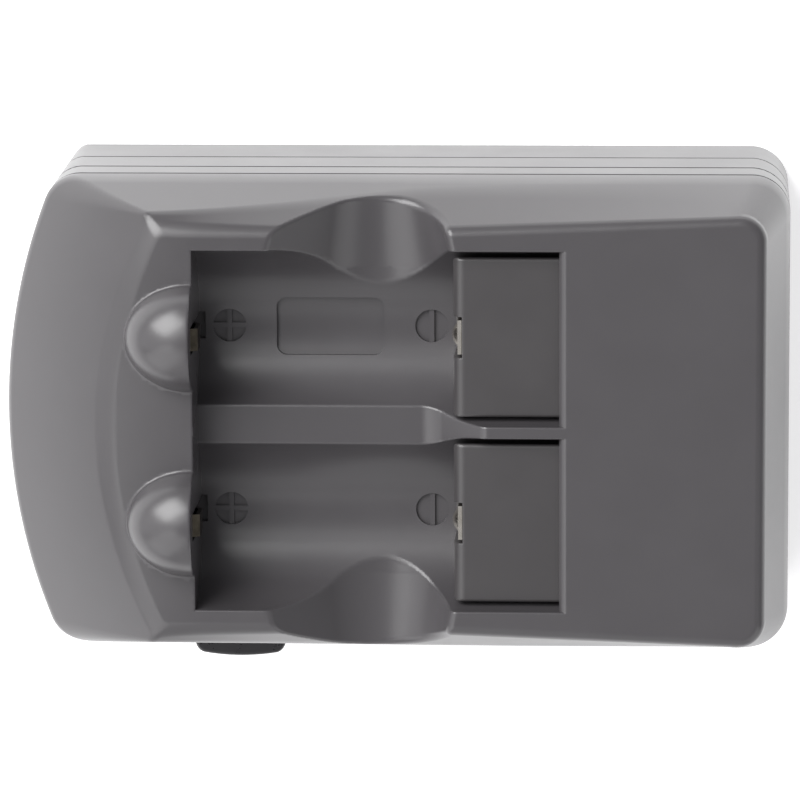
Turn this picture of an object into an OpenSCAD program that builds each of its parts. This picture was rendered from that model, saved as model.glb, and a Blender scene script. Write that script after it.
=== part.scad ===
// Two-bay lithium cell charger with sprung sliders and a folding mains plug.
// Millimetres. It lies on its flat back: +Z is up out of the bays, +X runs from the
// fixed contacts to the sliders, and the origin is the middle of the back.

/* [Body] */
// Length from the middle of the curved end to the straight end
body_l = 81; // [80:0.5:84]
// Width at the belt line
body_w = 49.3; // [48.8:0.1:52]
// Height of the flat top face over the back
top_z = 35.8; // [35.7:0.1:36.4]
// Height of the belt line, where the sides start to lean in
belt_z = 24; // [23.5:0.1:24.5]
// Height of the joint between rear cover and front housing
parting_z = 17.2; // [16.8:0.1:17.6]
// Radius of the curved end, seen from above
end_r = 61; // [56:1:70]
// Corner radius beside the curved end
corner_left = 4; // [3:0.5:5]
// Corner radius at the straight end
corner_right = 3.6; // [3:0.2:4.4]
// Thickness of the outer walls
wall = 2; // [1.8:0.1:2.2]

/* [Crown] */
// Height of the shoulder line under the top face
shoulder_drop = 2.6; // [2:0.2:3.2]
// How far the curved end has leaned in at the shoulder line
shoulder_end_in = 8.8; // [8:0.2:9.4]
// How far the long sides have leaned in at the shoulder line
shoulder_side_in = 2.4; // [2.25:0.05:2.6]
// How far the shoulder line sinks on its way to the finger scoops
shoulder_sink = 3.8; // [3:0.1:4]
// Radius of the shoulder line at the curved end
shoulder_r = 42; // [38:1:48]
// How far the curved end has leaned in at the top face
rim_end_in = 12.1; // [11.8:0.1:12.6]
// How far the long sides have leaned in at the top face, by the curved end
rim_side_in = 3.95; // [3.7:0.05:4.1]
// How far the long sides have leaned in at the top face, beside the scoops
waist_side_in = 3.65; // [3.55:0.05:3.75]
// How far the long sides have leaned in at the top face, by the straight end
deck_side_in = 2.5; // [2.3:0.1:2.9]
// How far the straight end has leaned in at the top face
deck_end_in = 2.65; // [2.4:0.05:2.8]
// Radius of the rim at the curved end
rim_r = 47; // [42:1:54]

/* [Grooves] */
// Height of the groove in the rear cover
groove_low_z = 10; // [9:0.5:11]
// Height of the groove below the belt line
groove_high_z = 22.2; // [21.6:0.1:22.6]
// Width and depth of the two grooves
groove = 0.4; // [0.3:0.05:0.5]
// Width of the shadow gap along the joint
joint_gap = 0.5; // [0.4:0.05:0.6]

/* [Bays] */
// Distance between the two cell axes
cell_pitch = 19.2; // [19.2:0.1:19.6]
// Radius of the troughs
bay_r = 9; // [8.9:0.05:9.1]
// Height of the cell axes over the top face
axis_over_top = 0.5; // [0.3:0.1:0.7]
// Place of the wall behind the fixed contacts
bay_left = -20.1; // [-20.4:0.1:-19.8]
// Thickness of plastic under and around the troughs
bay_shell = 1.6; // [1.4:0.1:1.8]
// Depth of the low part of the divider below the top face
divider_drop = 4.3; // [4:0.1:4.6]
// Where the divider starts to climb
divider_ramp = 3.3; // [2.5:0.1:3.6]
// Length of the climbing part of the divider
divider_ramp_l = 5.8; // [5.5:0.1:6.2]

/* [Finger scoops] */
// Radius of the steep side of the scoops beside the troughs
scoop_r = 7.5; // [7.3:0.1:7.8]
// Radius of the flared side of the scoops beside the troughs
scoop_flare_r = 9; // [8.6:0.1:9.2]
// Slope of the flared side in degrees
scoop_slope = 40; // [36:1:44]
// How much the radius shrinks outwards, over the width of a scoop
scoop_shrink = 1; // [0.6:0.1:1.2]
// Depth of the scoops below the top face, beside the troughs
scoop_depth = 7; // [6.8:0.1:7.2]
// How much the floor of the scoops rises on its way out
scoop_rise = 0.7; // [0.4:0.1:0.8]
// Place of the lowest line of the scoops
scoop_x = -1; // [-1.5:0.1:-0.6]
// Where the flared side of the scoops starts
scoop_left = -12.9; // [-13.4:0.1:-12.4]

/* [Contact domes] */
// Half width of the domes at the top face
dome_half_w = 5.4; // [5.2:0.1:5.6]
// Height of the domes over the top face
dome_h = 4.8; // [4.6:0.1:5]
// Straight length of the domes beside the bays
dome_run = 1.5; // [1.2:0.1:1.8]

/* [Marks] */
// Radius of the round polarity marks
mark_r = 1.65; // [1.5:0.05:1.8]
// Depth of the marks and of the bare panel in the trough floor
mark_depth = 0.35; // [0.25:0.05:0.4]
// Width of the raised bars in the marks
mark_bar = 0.5; // [0.4:0.05:0.6]
// Place of the plus marks
plus_x = -17; // [-17.2:0.1:-16.6]
// Place of the minus marks
minus_x = 3.8; // [3.6:0.1:4]
// Length of the bare panel
panel_l = 11.1; // [10.5:0.1:11.5]
// Width of the bare panel
panel_w = 6; // [5.6:0.1:6.4]
// Place of the middle of the bare panel
panel_x = -6.6; // [-7:0.1:-6.2]

/* [Sliders] */
// Place of the slider front when no cell is in
slider_front = 6.3; // [6.3:0.1:6.6]
// Thickness of the end wall behind the sliders at the top face
end_wall = 1.05; // [1:0.05:1.1]
// Gap between a slider and the trough round it
slider_gap = 0.5; // [0.45:0.05:0.55]
// How far the slider top lies below the top face
slider_drop = 1.2; // [1.2:0.05:1.3]
// Wall thickness of the hollow sliders
slider_wall = 1.4; // [1.3:0.1:1.5]
// Rounding of the long edges of the sliders
slider_round = 0.45; // [0.35:0.05:0.55]
// Length of the sloping front edge
slider_bevel = 1.2; // [1:0.1:1.4]
// Travel of the sliders
slider_travel = 9.5; // [9:0.1:9.5]
// Right edge of the slider pockets in the top face
pocket_right = 17.1; // [16.8:0.1:17.4]
// Thickness of the roof over the sliders
roof = 1; // [0.9:0.05:1]
// Gap left behind a slider that is pushed back fully
end_gap = 0.4; // [0.35:0.05:0.45]
// Width of the foot under a slider
foot_w = 3; // [2.8:0.1:3.2]
// Length of the foot
foot_l = 3; // [2.8:0.1:3.2]
// Place of the foot behind the slider front
foot_at = 14.7; // [14.5:0.1:14.9]
// Thickness of the keeper plate
keeper_t = 0.7; // [0.6:0.05:0.8]

/* [Contacts] */
// Thickness of the contact strip metal
strip_t = 0.4; // [0.3:0.05:0.45]
// Width of the contact strips
strip_w = 3.5; // [3.3:0.1:3.7]
// Width of the slots in the sliders and of the room behind the fixed contacts
slot_w = 4.2; // [4.1:0.1:4.4]
// Width of the nose of a fixed contact
nose_w = 2.3; // [2.1:0.1:2.5]
// Gap on each side of the nose in its slot
nose_gap = 0.25; // [0.2:0.05:0.4]
// Width of the slit that the nose slot leaves in the trough floor
nose_slit = 0.6; // [0.4:0.1:0.8]
// Reach of the fixed contact into the bay
nose_reach = 0.6; // [0.4:0.1:0.7]
// Reach of the dimple on the sliding contact
dimple_reach = 0.6; // [0.5:0.1:0.7]

/* [Springs] */
// Outer radius of the slider springs
spring_r = 2.1; // [2:0.05:2.2]
// Wire diameter of the springs
spring_wire = 0.45; // [0.4:0.05:0.5]
// Turns of the springs
spring_turns = 9; // [7:1:11]
// Depth of the spring bore in a slider
spring_bore = 8; // [7.5:0.1:8.2]

/* [Selector] */
// Place of the selector knob along the side
knob_x = -16.9; // [-17.4:0.1:-16.4]
// Length of the knob
knob_l = 9.5; // [9.3:0.1:9.7]
// Height of the knob
knob_h = 5; // [4.6:0.1:5.2]
// How far the knob stands out of the side
knob_out = 2.4; // [2.3:0.1:2.6]
// How far the middle of the knob's curved face stands out over its ends
knob_bow = 0.5; // [0.3:0.1:0.6]
// Travel of the knob from one position to the other
knob_travel = 3; // [2.5:0.1:3]
// Length of the stem of the knob
stem_l = 4; // [3.8:0.1:4.2]
// Height of the stem of the knob
stem_h = 2.4; // [2.2:0.1:2.6]
// Length of the lever of the switch
lever_l = 2; // [1.8:0.1:2.2]
// Height of the lever of the switch
lever_h = 1.8; // [1.6:0.1:2]
// Reach of the lever from the inside of the wall
lever_reach = 2.6; // [2.5:0.05:2.7]
// Depth of the switch body
switch_w = 4; // [3.6:0.1:4.2]
// Wall thickness of the switch body
switch_wall = 0.5; // [0.4:0.05:0.5]

/* [Folding plug] */
// Place of the pivot along the back
pivot_x = 8; // [7.5:0.1:8.5]
// Height of the pivot over the back
pivot_z = 3.5; // [3.4:0.05:3.6]
// Radius of the plug barrel
barrel_r = 3.2; // [3:0.05:3.3]
// Length of the barrel
barrel_l = 20.4; // [20:0.1:20.8]
// Radius of the pivot pins
pin_r = 1.4; // [1.2:0.1:1.6]
// Length of each pivot pin
pin_l = 1.4; // [1.2:0.1:1.5]
// Radial clearance of the pivot pins
pin_clear = 0.05; // [0.03:0.01:0.08]
// Clearance of the barrel in its recess
recess_gap = 0.5; // [0.4:0.05:0.6]
// Distance between the blades
blade_pitch = 12.7; // [12.4:0.1:13]
// Width of a blade
blade_w = 6.3; // [6:0.1:6.5]
// Thickness of a blade
blade_t = 1.5; // [1.4:0.05:1.6]
// Length of a blade outside the barrel
blade_l = 16; // [15.5:0.1:16.5]
// Radius of the hole near the tip of a blade
blade_hole_r = 1.6; // [1.4:0.1:1.7]
// Width of the springs that touch the blades
blade_spring_w = 3; // [2.8:0.1:3.2]
// Length of the springs that touch the blades
blade_spring_l = 7; // [6.8:0.1:7.2]

/* [Circuit board] */
// Height of the underside of the board
board_z = 13; // [12.8:0.1:13.2]
// Thickness of the board
board_t = 1.6; // [1.5:0.05:1.6]
// Gap between the board and the long walls
board_side_gap = 1.9; // [1.7:0.1:2.2]
// Gap between the board and the wall of the straight end
board_end_gap = 0.9; // [0.8:0.05:1.1]
// Distance of the board from the curved end
board_inset = 15.5; // [15:0.1:16]
// Length of the transformer
core_l = 16; // [15:0.5:16.5]
// Width of the transformer core
core_w = 13; // [12:0.5:13.5]
// Height of the transformer over the board
core_h = 9.6; // [9:0.1:9.8]
// Radius of the mains capacitor
mains_can_r = 4; // [3.6:0.1:4.2]
// Length of the mains capacitor
mains_can_l = 13; // [12:0.5:13.5]
// Radius of the output capacitor
output_can_r = 3.1; // [2.8:0.1:3.4]
// Length of the output capacitor
output_can_l = 10; // [9:0.5:11]
// Length and width of the controller chip
chip_l = 5; // [4.8:0.1:5.2]
// Width of the chip bodies
chip_w = 3.9; // [3.7:0.1:4]
// Gap between the controller chip and the output capacitor
chip_gap = 1.3; // [1:0.1:1.5]
// Gap between the bridge rectifier and the screw boss beside it
rectifier_gap = 0.7; // [0.6:0.1:0.9]
// Radius of the fuse
fuse_r = 1.6; // [1.4:0.1:1.8]
// Length of the fuse
fuse_l = 6; // [5.6:0.1:6.4]

/* [Screws] */
// Distance of the left screws from the curved end
screw_left_in = 11.5; // [11:0.1:12]
// Distance of the left screws from the long sides
screw_left_side = 10.5; // [10:0.1:11]
// Distance of the right screws from the straight end
screw_right_in = 7.5; // [7.2:0.1:7.8]
// Distance of the right screws from the long sides
screw_right_side = 6.3; // [6.1:0.1:6.5]
// Radius of the screw bosses
boss_r = 3; // [2.8:0.1:3.2]
// Radius of the screw shank
screw_r = 1.2; // [1.1:0.05:1.3]
// Radius of the screw head
head_r = 2.1; // [2:0.05:2.2]
// Length of the screws under the head
screw_l = 14; // [13:0.5:15]

/* [Hidden] */
$fn = 48;

eps = 0.01;
half_l = body_l / 2;
half_w = body_w / 2;
bay_y = cell_pitch / 2;
axis_z = top_z + axis_over_top;
floor_z = axis_z - bay_r;
divider_z = top_z - divider_drop;
shoulder_z = top_z - shoulder_drop;
scoop_edge_y = bay_y + sqrt(bay_r * bay_r - axis_over_top * axis_over_top);

// Sliders, worked out from the troughs and their gaps
slider_top = top_z - slider_drop;
slider_r = bay_r - slider_gap;
slider_bottom = axis_z - slider_r;
channel_under = floor_z - bay_shell;
channel_end = half_l - deck_end_in - end_wall;
slider_back = channel_end - strip_t - end_gap - slider_travel;
spring_z = (slider_bottom + slider_top) / 2;
spring_hole = spring_r + 0.3;
spine_half = spring_hole + 1;
spring_start = slider_back - spring_bore;
foot_left = slider_front + foot_at;
foot_bottom = channel_under - keeper_t - 0.7;
keeper_gap = 0.2;
neck_w = foot_w - 1;
slot_gap = 0.15;

// Plug recess in the back
recess_x0 = pivot_x - barrel_r - recess_gap;
recess_x1 = pivot_x + barrel_r + blade_l + 1.2;
recess_half_w = barrel_l / 2 + 0.3;
recess_roof = pivot_z + barrel_r + recess_gap;
recess_shell = 1.6;
notch_r = 5;
notch_h = 3.6;

// Board, switch and inner parts
board_top = board_z + board_t;
board_left = board_inset - half_l;
board_right = half_l - wall - board_end_gap;
board_half_w = half_w - wall - board_side_gap;
part_gap = 4;
core_x = (slider_front + pocket_right) / 2 - 1.7;
output_can_x = core_x - core_l / 2 - part_gap - output_can_r;
mains_can_x = core_x + core_l / 2 + part_gap + mains_can_r;
knob_z = parting_z;
fit = 0.05;
cover_floor = 2.2;
tongue_h = 1.2;
tongue_t = 1;
post_x = [board_left + 1.5, board_right - 13.6];

grey = [0.37, 0.36, 0.37];
dark_grey = [0.3, 0.29, 0.3];
black = [0.1, 0.1, 0.1];
nickel = [0.8, 0.79, 0.76];

function arc(cx, cy, r, a0, a1, n) =
    [for (i = [0:n]) let (a = a0 + (a1 - a0) * i / n) [cx + r * cos(a), cy + r * sin(a)]];

// Outline with one curved end, for the levels of the crown
function end_outline(left, r_end, hw_left, right, hw_right, r_left, r_right, n) =
    let (cx = left + r_end)
    let (fy = hw_left - r_left)
    let (fx = cx - sqrt(pow(r_end - r_left, 2) - fy * fy))
    let (a = atan2(fy, fx - cx))
    concat(
        arc(right - r_right, hw_right - r_right, r_right, 0, 90, n),
        arc(fx, fy, r_left, 90, a, n),
        arc(cx, 0, r_end, a, 360 - a, 4 * n),
        arc(fx, -fy, r_left, 360 - a, 270, n),
        arc(right - r_right, r_right - hw_right, r_right, 270, 360, n)
    );

// Plan of the body, drawn in by the given amount
module plan(inset) {
    cx = end_r - half_l;
    r_end = end_r - inset;
    r_left = corner_left - inset;
    r_right = corner_right - inset;
    fy = half_w - corner_left;
    fx = cx - sqrt(pow(end_r - corner_left, 2) - fy * fy);
    reach = 2 * end_r;
    right = half_l - corner_right;
    intersection() {
        translate([cx, 0])
            circle(r = r_end, $fn = 96);
        polygon([[cx, 0], [cx + (fx - cx) * 2, fy * 2], [cx + (fx - cx) * 2, -fy * 2]]);
    }
    for (s = [-1, 1]) {
        translate([fx, s * fy])
            circle(r = r_left);
        translate([right, s * (half_w - corner_right)])
            circle(r = r_right);
    }
    translate([fx, inset - half_w])
        square([right - fx, body_w - 2 * inset]);
    translate([fx, corner_right - half_w])
        square([half_l - inset - fx, body_w - 2 * corner_right]);
}

// A thin slab of the crown at one level
module crown_level(z, left, r_end, hw_left, right, hw_right, r_left, r_right, n) {
    translate([0, 0, z - eps])
        linear_extrude(eps)
            polygon(end_outline(left, r_end, hw_left, right, hw_right, r_left, r_right, n));
}

// Half of the crown with the curved end, up to the middle of the scoops
module crown_left() {
    sunk_z = shoulder_z - shoulder_sink;
    sunk_lean = (sunk_z - belt_z) / (top_z - belt_z);
    sunk_half_w = half_w - waist_side_in * sunk_lean;
    hull() {
        crown_level(belt_z + eps, fit - half_l, end_r - fit, half_w - fit,
            scoop_x + eps, half_w - fit, corner_left, eps, 6);
        crown_level(shoulder_z, shoulder_end_in - half_l, shoulder_r, half_w - shoulder_side_in,
            bay_left - 4.5, half_w - shoulder_side_in, corner_left / 2, eps, 6);
        crown_level(top_z, rim_end_in - half_l, rim_r, half_w - rim_side_in,
            scoop_x + eps, half_w - rim_side_in, corner_left / 2, eps, 6);
        block(scoop_x, scoop_x + eps, -sunk_half_w, sunk_half_w, sunk_z - eps, sunk_z);
    }
}

// Half of the crown with the flat deck, which widens a little to its straight end
module crown_right() {
    hull() {
        level_right(belt_z + eps, half_w - fit, half_l - fit, half_w - fit, corner_right);
        level_right(top_z, half_w - waist_side_in, half_l - deck_end_in, half_w - deck_side_in,
            corner_right / 2);
    }
}

// Level of the deck half: straight at the scoops, with two round corners at the end
module level_right(z, hw_left, right, hw_right, r) {
    translate([0, 0, z - eps])
        linear_extrude(eps)
            polygon(concat(
                arc(right - r, hw_right - r, r, 0, 90, 6),
                [[scoop_x, hw_left], [scoop_x, -hw_left]],
                arc(right - r, r - hw_right, r, 270, 360, 6)
            ));
}

module crown() {
    crown_left();
    crown_right();
}

// Room inside the crown, one wall in from its surface
module crown_room() {
    roof_z = top_z - wall;
    hull() {
        crown_level(belt_z - 1 + eps, wall + 1 - half_l, end_r - wall, half_w - wall - 0.6,
            half_l - wall - 0.6, half_w - wall - 0.6, corner_left - wall, corner_right - wall, 3);
        crown_level(roof_z, rim_end_in + 1 - half_l, rim_r, half_w - rim_side_in - 1.2,
            channel_end, half_w - rim_side_in - 1.2, 1, 1, 3);
    }
}

// Ring cut into the sides at one height
module side_groove(z, height, depth) {
    translate([0, 0, z])
        linear_extrude(height)
            difference() {
                plan(-1);
                plan(depth);
            }
}

module along_x(x0, x1) {
    translate([x0, 0, 0])
        rotate([90, 0, 90])
            linear_extrude(x1 - x0)
                children();
}

module along_y(y0, y1) {
    translate([0, y1, 0])
        rotate([90, 0, 0])
            linear_extrude(y1 - y0)
                children();
}

module block(x0, x1, y0, y1, z0, z1) {
    translate([x0, y0, z0])
        cube([x1 - x0, y1 - y0, z1 - z0]);
}

// Material left round one trough and under its finger scoop
module bay_carrier(s) {
    outer_r = bay_r + bay_shell;
    intersection() {
        along_x(bay_left - bay_shell - 0.2, channel_end + wall)
            translate([s * bay_y, axis_z])
                circle(r = outer_r, $fn = 96);
        block(-half_l, half_l, -half_w, half_w, 0, top_z);
    }
    block(bay_left - bay_shell - 0.2, channel_end, min(s * -fit, s * (bay_y - bay_r / 2)),
        max(s * -fit, s * (bay_y - bay_r / 2)), divider_z - bay_shell, top_z);
    scoop_out = half_w - wall / 2;
    block(scoop_left - 1, scoop_x + scoop_r + 1, min(s * (bay_y + 6), s * scoop_out),
        max(s * (bay_y + 6), s * scoop_out), top_z - scoop_depth - 2, top_z);
}

// Section of a finger scoop at one distance from the middle: two radii and a flared side
module scoop_level(y) {
    share = (y - scoop_edge_y) / (half_w - scoop_edge_y);
    r = scoop_r - scoop_shrink * share;
    flare_r = scoop_flare_r - scoop_shrink * share;
    bottom = top_z - scoop_depth + scoop_rise * share;
    reach = top_z + 3 - bottom;
    translate([0, y, 0])
        rotate([90, 0, 0])
            linear_extrude(eps) {
                intersection() {
                    translate([scoop_x, bottom + r])
                        circle(r = r, $fn = 64);
                    translate([scoop_x, bottom - 1])
                        square([2 * r, r + 1]);
                }
                intersection() {
                    translate([scoop_x, bottom + flare_r])
                        circle(r = flare_r, $fn = 64);
                    translate([scoop_x - 2 * flare_r * sin(scoop_slope), bottom - 1])
                        square([2 * flare_r * sin(scoop_slope), flare_r + 1]);
                }
                translate([scoop_left - 3 / tan(scoop_slope) + share, top_z + 3])
                    square([scoop_x + r - scoop_left - share + 3 / tan(scoop_slope), eps]);
            }
}

module finger_scoop() {
    hull() {
        scoop_level(bay_y + 5);
        scoop_level(half_w + 1);
    }
}

// Everything that is cut out for one bay and its slider
module bay_cut(s) {
    y = s * bay_y;
    along_x(bay_left, pocket_right)
        translate([y, axis_z])
            circle(r = bay_r, $fn = 96);
    along_x(pocket_right - 1, channel_end)
        intersection() {
            translate([y, axis_z])
                circle(r = bay_r, $fn = 96);
            translate([y - bay_r, axis_z - bay_r - 1])
                square([2 * bay_r, bay_r + 1 - axis_over_top - roof]);
        }
    if (s > 0)
        finger_scoop();
    else
        mirror([0, 1, 0])
            finger_scoop();
    block(foot_left - slot_gap, foot_left + foot_l + slider_travel + end_gap,
        y - foot_w / 2 - slot_gap, y + foot_w / 2 + slot_gap, channel_under - 1, floor_z + 1);
    block(channel_end - strip_t - slot_gap, channel_end, y - strip_w / 2 - slot_gap,
        y + strip_w / 2 + slot_gap, channel_under - 1, floor_z + 1);
    nose_half = nose_w / 2 + nose_gap;
    block(bay_left - bay_shell - 1, bay_left + nose_slit, y - nose_half, y + nose_half,
        floor_z - bay_shell / 3, axis_z + 1.6);
    block(bay_left - bay_shell - 1, bay_left - bay_shell, y - slot_w / 2, y + slot_w / 2,
        floor_z + 0.4, axis_z + 1.6);
}

module plus_mark(y) {
    difference() {
        translate([plus_x, y, floor_z - mark_depth])
            cylinder(r = mark_r, h = 2);
        block(plus_x - mark_r, plus_x + mark_r, y - mark_bar / 2, y + mark_bar / 2, 0, floor_z);
        block(plus_x - mark_bar / 2, plus_x + mark_bar / 2, y - mark_r, y + mark_r, 0, floor_z);
    }
}

module minus_mark(y) {
    difference() {
        translate([minus_x, y, floor_z - mark_depth])
            cylinder(r = mark_r, h = 2);
        block(minus_x - mark_bar / 2, minus_x + mark_bar / 2, y - mark_r, y + mark_r, 0, floor_z);
    }
}

// Bare sunk panel in the floor of the upper trough
module floor_panel(y) {
    intersection() {
        along_x(panel_x - panel_l / 2, panel_x + panel_l / 2)
            translate([y, axis_z])
                circle(r = bay_r + mark_depth, $fn = 96);
        block(panel_x - panel_l / 2, panel_x + panel_l / 2, y - panel_w / 2, y + panel_w / 2,
            floor_z - 1, axis_z - 4);
    }
}

// Low divider between the troughs, climbing to the narrow wall between the sliders
module divider_cut() {
    end = divider_ramp + divider_ramp_l;
    along_y(1 - bay_y, bay_y - 1)
        polygon([[bay_left, divider_z], [divider_ramp, divider_z], [end, top_z], [end, top_z + 1],
            [bay_left, top_z + 1]]);
}

// Half section of a dome, standing on the top face
module dome_half() {
    r = (dome_half_w * dome_half_w + dome_h * dome_h) / (2 * dome_h);
    translate([0, top_z])
        intersection() {
            translate([0, dome_h - r])
                circle(r = r, $fn = 96);
            translate([0, -1])
                square([dome_half_w * 2, dome_h + 2]);
        }
}

module dome(y) {
    translate([bay_left - dome_run, y, 0]) {
        rotate([0, 0, 90])
            rotate_extrude(angle = 180, $fn = 64)
                dome_half();
        along_x(0, dome_run) {
            dome_half();
            mirror([1, 0])
                dome_half();
        }
    }
}

module boss_places() {
    for (s = [-1, 1]) {
        translate([screw_left_in - half_l, s * (half_w - screw_left_side), 0])
            children();
        translate([half_l - screw_right_in, s * (half_w - screw_right_side), 0])
            children();
    }
}

// Slot in the side for the stem of the selector knob
module stem_slot() {
    half = stem_l / 2 + 0.2;
    block(knob_x - half, knob_x + half + knob_travel, -half_w - 1, wall + 1.5 - half_w,
        knob_z - stem_h / 2 - 0.2, knob_z + stem_h / 2 + 0.2);
}

// Room for the tongue of the rear cover
module tongue_groove() {
    translate([0, 0, parting_z - eps])
        linear_extrude(tongue_h + 0.2)
            difference() {
                plan(wall - tongue_t - fit);
                plan(wall + fit);
            }
}

module front_housing() {
    boss_top = belt_z + 4;
    color(grey)
    difference() {
        union() {
            difference() {
                union() {
                    translate([0, 0, parting_z])
                        linear_extrude(belt_z - parting_z)
                            plan(0);
                    crown();
                }
                difference() {
                    union() {
                        translate([0, 0, parting_z - 1])
                            linear_extrude(belt_z - parting_z)
                                plan(wall);
                        crown_room();
                    }
                    bay_carrier(1);
                    bay_carrier(-1);
                    boss_places()
                        translate([0, 0, parting_z])
                            cylinder(r = boss_r, h = boss_top);
                }
            }
            dome(bay_y);
            dome(-bay_y);
        }
        bay_cut(1);
        bay_cut(-1);
        divider_cut();
        plus_mark(bay_y);
        plus_mark(-bay_y);
        minus_mark(bay_y);
        minus_mark(-bay_y);
        floor_panel(bay_y);
        side_groove(groove_high_z, groove, groove);
        side_groove(parting_z - eps, joint_gap, groove);
        tongue_groove();
        boss_places()
            translate([0, 0, parting_z - 1])
                cylinder(r = screw_r - 0.1, h = belt_z + 2 - parting_z);
        stem_slot();
    }
}

module rear_cover() {
    edge = 0.6;
    color(grey)
    difference() {
        union() {
            difference() {
                union() {
                    hull() {
                        crown_level(eps, edge - half_l, end_r - edge, half_w - edge, half_l - edge,
                            half_w - edge, corner_left - edge, corner_right - edge, 6);
                        crown_level(edge, fit - half_l, end_r - fit, half_w - fit, half_l - fit,
                            half_w - fit, corner_left, corner_right, 6);
                    }
                    translate([0, 0, edge])
                        linear_extrude(parting_z - edge)
                            plan(0);
                    translate([0, 0, edge])
                        linear_extrude(parting_z + tongue_h - edge)
                            plan(wall - tongue_t);
                }
                translate([0, 0, cover_floor])
                    linear_extrude(parting_z)
                        plan(wall);
                side_groove(groove_low_z, groove, groove);
            }
            block(recess_x0 - recess_shell, recess_x1 + recess_shell,
                -recess_half_w - recess_shell - 0.4, recess_half_w + recess_shell + 0.4,
                cover_floor - 1, recess_roof + recess_shell);
            translate([recess_x1, 0, cover_floor - 1])
                cylinder(r = notch_r + recess_shell, h = notch_h + recess_shell - cover_floor + 1);
            boss_places()
                translate([0, 0, cover_floor - 1])
                    cylinder(r = boss_r, h = parting_z - cover_floor + 1);
            for (x = post_x, s = [-1, 1])
                translate([x, s * (board_half_w - 3), cover_floor - 1]) {
                    cylinder(r = 1.9, h = board_z - cover_floor + 1);
                    cylinder(r = 0.8, h = board_top - cover_floor + 0.6);
                }
        }
        plug_recess();
        boss_places() {
            translate([0, 0, -1])
                cylinder(r = head_r + 0.3, h = parting_z - screw_l / 2 + 1);
            translate([0, 0, -1])
                cylinder(r = screw_r + 0.15, h = parting_z + 2);
        }
        stem_slot();
    }
}

// Recess in the back for the folded plug, with pivot holes and contact windows
module plug_recess() {
    block(recess_x0, recess_x1, -recess_half_w, recess_half_w, -1, recess_roof);
    translate([recess_x1, 0, -1])
        cylinder(r = notch_r, h = notch_h + 1);
    translate([pivot_x, recess_half_w + pin_l + 0.1, pivot_z])
        rotate([90, 0, 0])
            cylinder(r = pin_r + pin_clear, h = 2 * (recess_half_w + pin_l + 0.1));
    for (s = [-1, 1])
        block(pivot_x - 1.6, pivot_x + 1.6, s * blade_pitch / 2 - 2, s * blade_pitch / 2 + 2,
            recess_roof - 1, recess_roof + recess_shell + 1);
}

// Section of a slider: a round that fits the trough, with a flat top and rounded edges
module slider_section(r) {
    edge_y = sqrt(pow(r - slider_round, 2) - pow(axis_z - slider_top + slider_round, 2));
    intersection() {
        translate([0, axis_z])
            circle(r = r, $fn = 96);
        translate([-r, 0])
            square([2 * r, slider_top - slider_round]);
    }
    for (t = [-1, 1])
        translate([t * edge_y, slider_top - slider_round])
            circle(r = slider_round);
    translate([-edge_y, slider_top - slider_round - 1])
        square([2 * edge_y, slider_round + 1]);
}

// Hollows either side of the spine, open to the back
module slider_hollow(t) {
    inner_r = slider_r - slider_wall;
    along_x(slider_front + 2, slider_back + 1)
        intersection() {
            translate([0, axis_z])
                circle(r = inner_r, $fn = 96);
            translate([t > 0 ? spine_half : -slider_r, 0])
                square([slider_r - spine_half, slider_top - slider_wall]);
        }
}

module slider(s) {
    color(dark_grey)
    translate([0, s * bay_y, 0])
        difference() {
            union() {
                intersection() {
                    along_x(slider_front, slider_back)
                        slider_section(slider_r);
                    along_y(-slider_r - 1, slider_r + 1)
                        polygon([
                            [slider_front, slider_bottom - 1],
                            [slider_back, slider_bottom - 1],
                            [slider_back, slider_top + 1],
                            [slider_front + slider_bevel, slider_top + 1],
                            [slider_front + slider_bevel, slider_top],
                            [slider_front, slider_top - slider_bevel]
                        ]);
                }
                block(foot_left, foot_left + foot_l, -foot_w / 2, foot_w / 2,
                    foot_bottom, slider_bottom + 1);
            }
            slider_hollow(1);
            slider_hollow(-1);
            // spring bore, contact slot and passage for the tail of the contact
            translate([spring_start, 0, spring_z])
                rotate([0, 90, 0])
                    cylinder(r = spring_hole, h = spring_bore + 1);
            block(slider_front - 1, slider_front + 2 * strip_t + 0.1, -slot_w / 2, slot_w / 2,
                slider_bottom + 0.9, slider_top + 1);
            block(slider_front, spring_start + 1, -strip_w / 4 - fit, strip_w / 4 + fit,
                spring_z - strip_t / 2 - fit, spring_z + strip_t / 2 + fit);
            // neck of the foot, where the keeper slides on
            for (t = [-1, 1])
                block(foot_left - 1, foot_left + foot_l + 1,
                    t > 0 ? neck_w / 2 : -foot_w, t > 0 ? foot_w : -neck_w / 2,
                    channel_under - keeper_gap - keeper_t - fit, channel_under - keeper_gap + fit);
        }
}

// Plate that slides onto the foot from behind and keeps the slider in its channel
module slider_keeper(s) {
    color(nickel)
    translate([0, s * bay_y, 0])
        difference() {
            block(foot_left - 1.5, foot_left + foot_l + 1.2, -foot_w, foot_w,
                channel_under - keeper_gap - keeper_t, channel_under - keeper_gap);
            block(foot_left - fit, foot_left + foot_l + 2, -neck_w / 2 - fit, neck_w / 2 + fit,
                0, top_z);
        }
}

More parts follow.
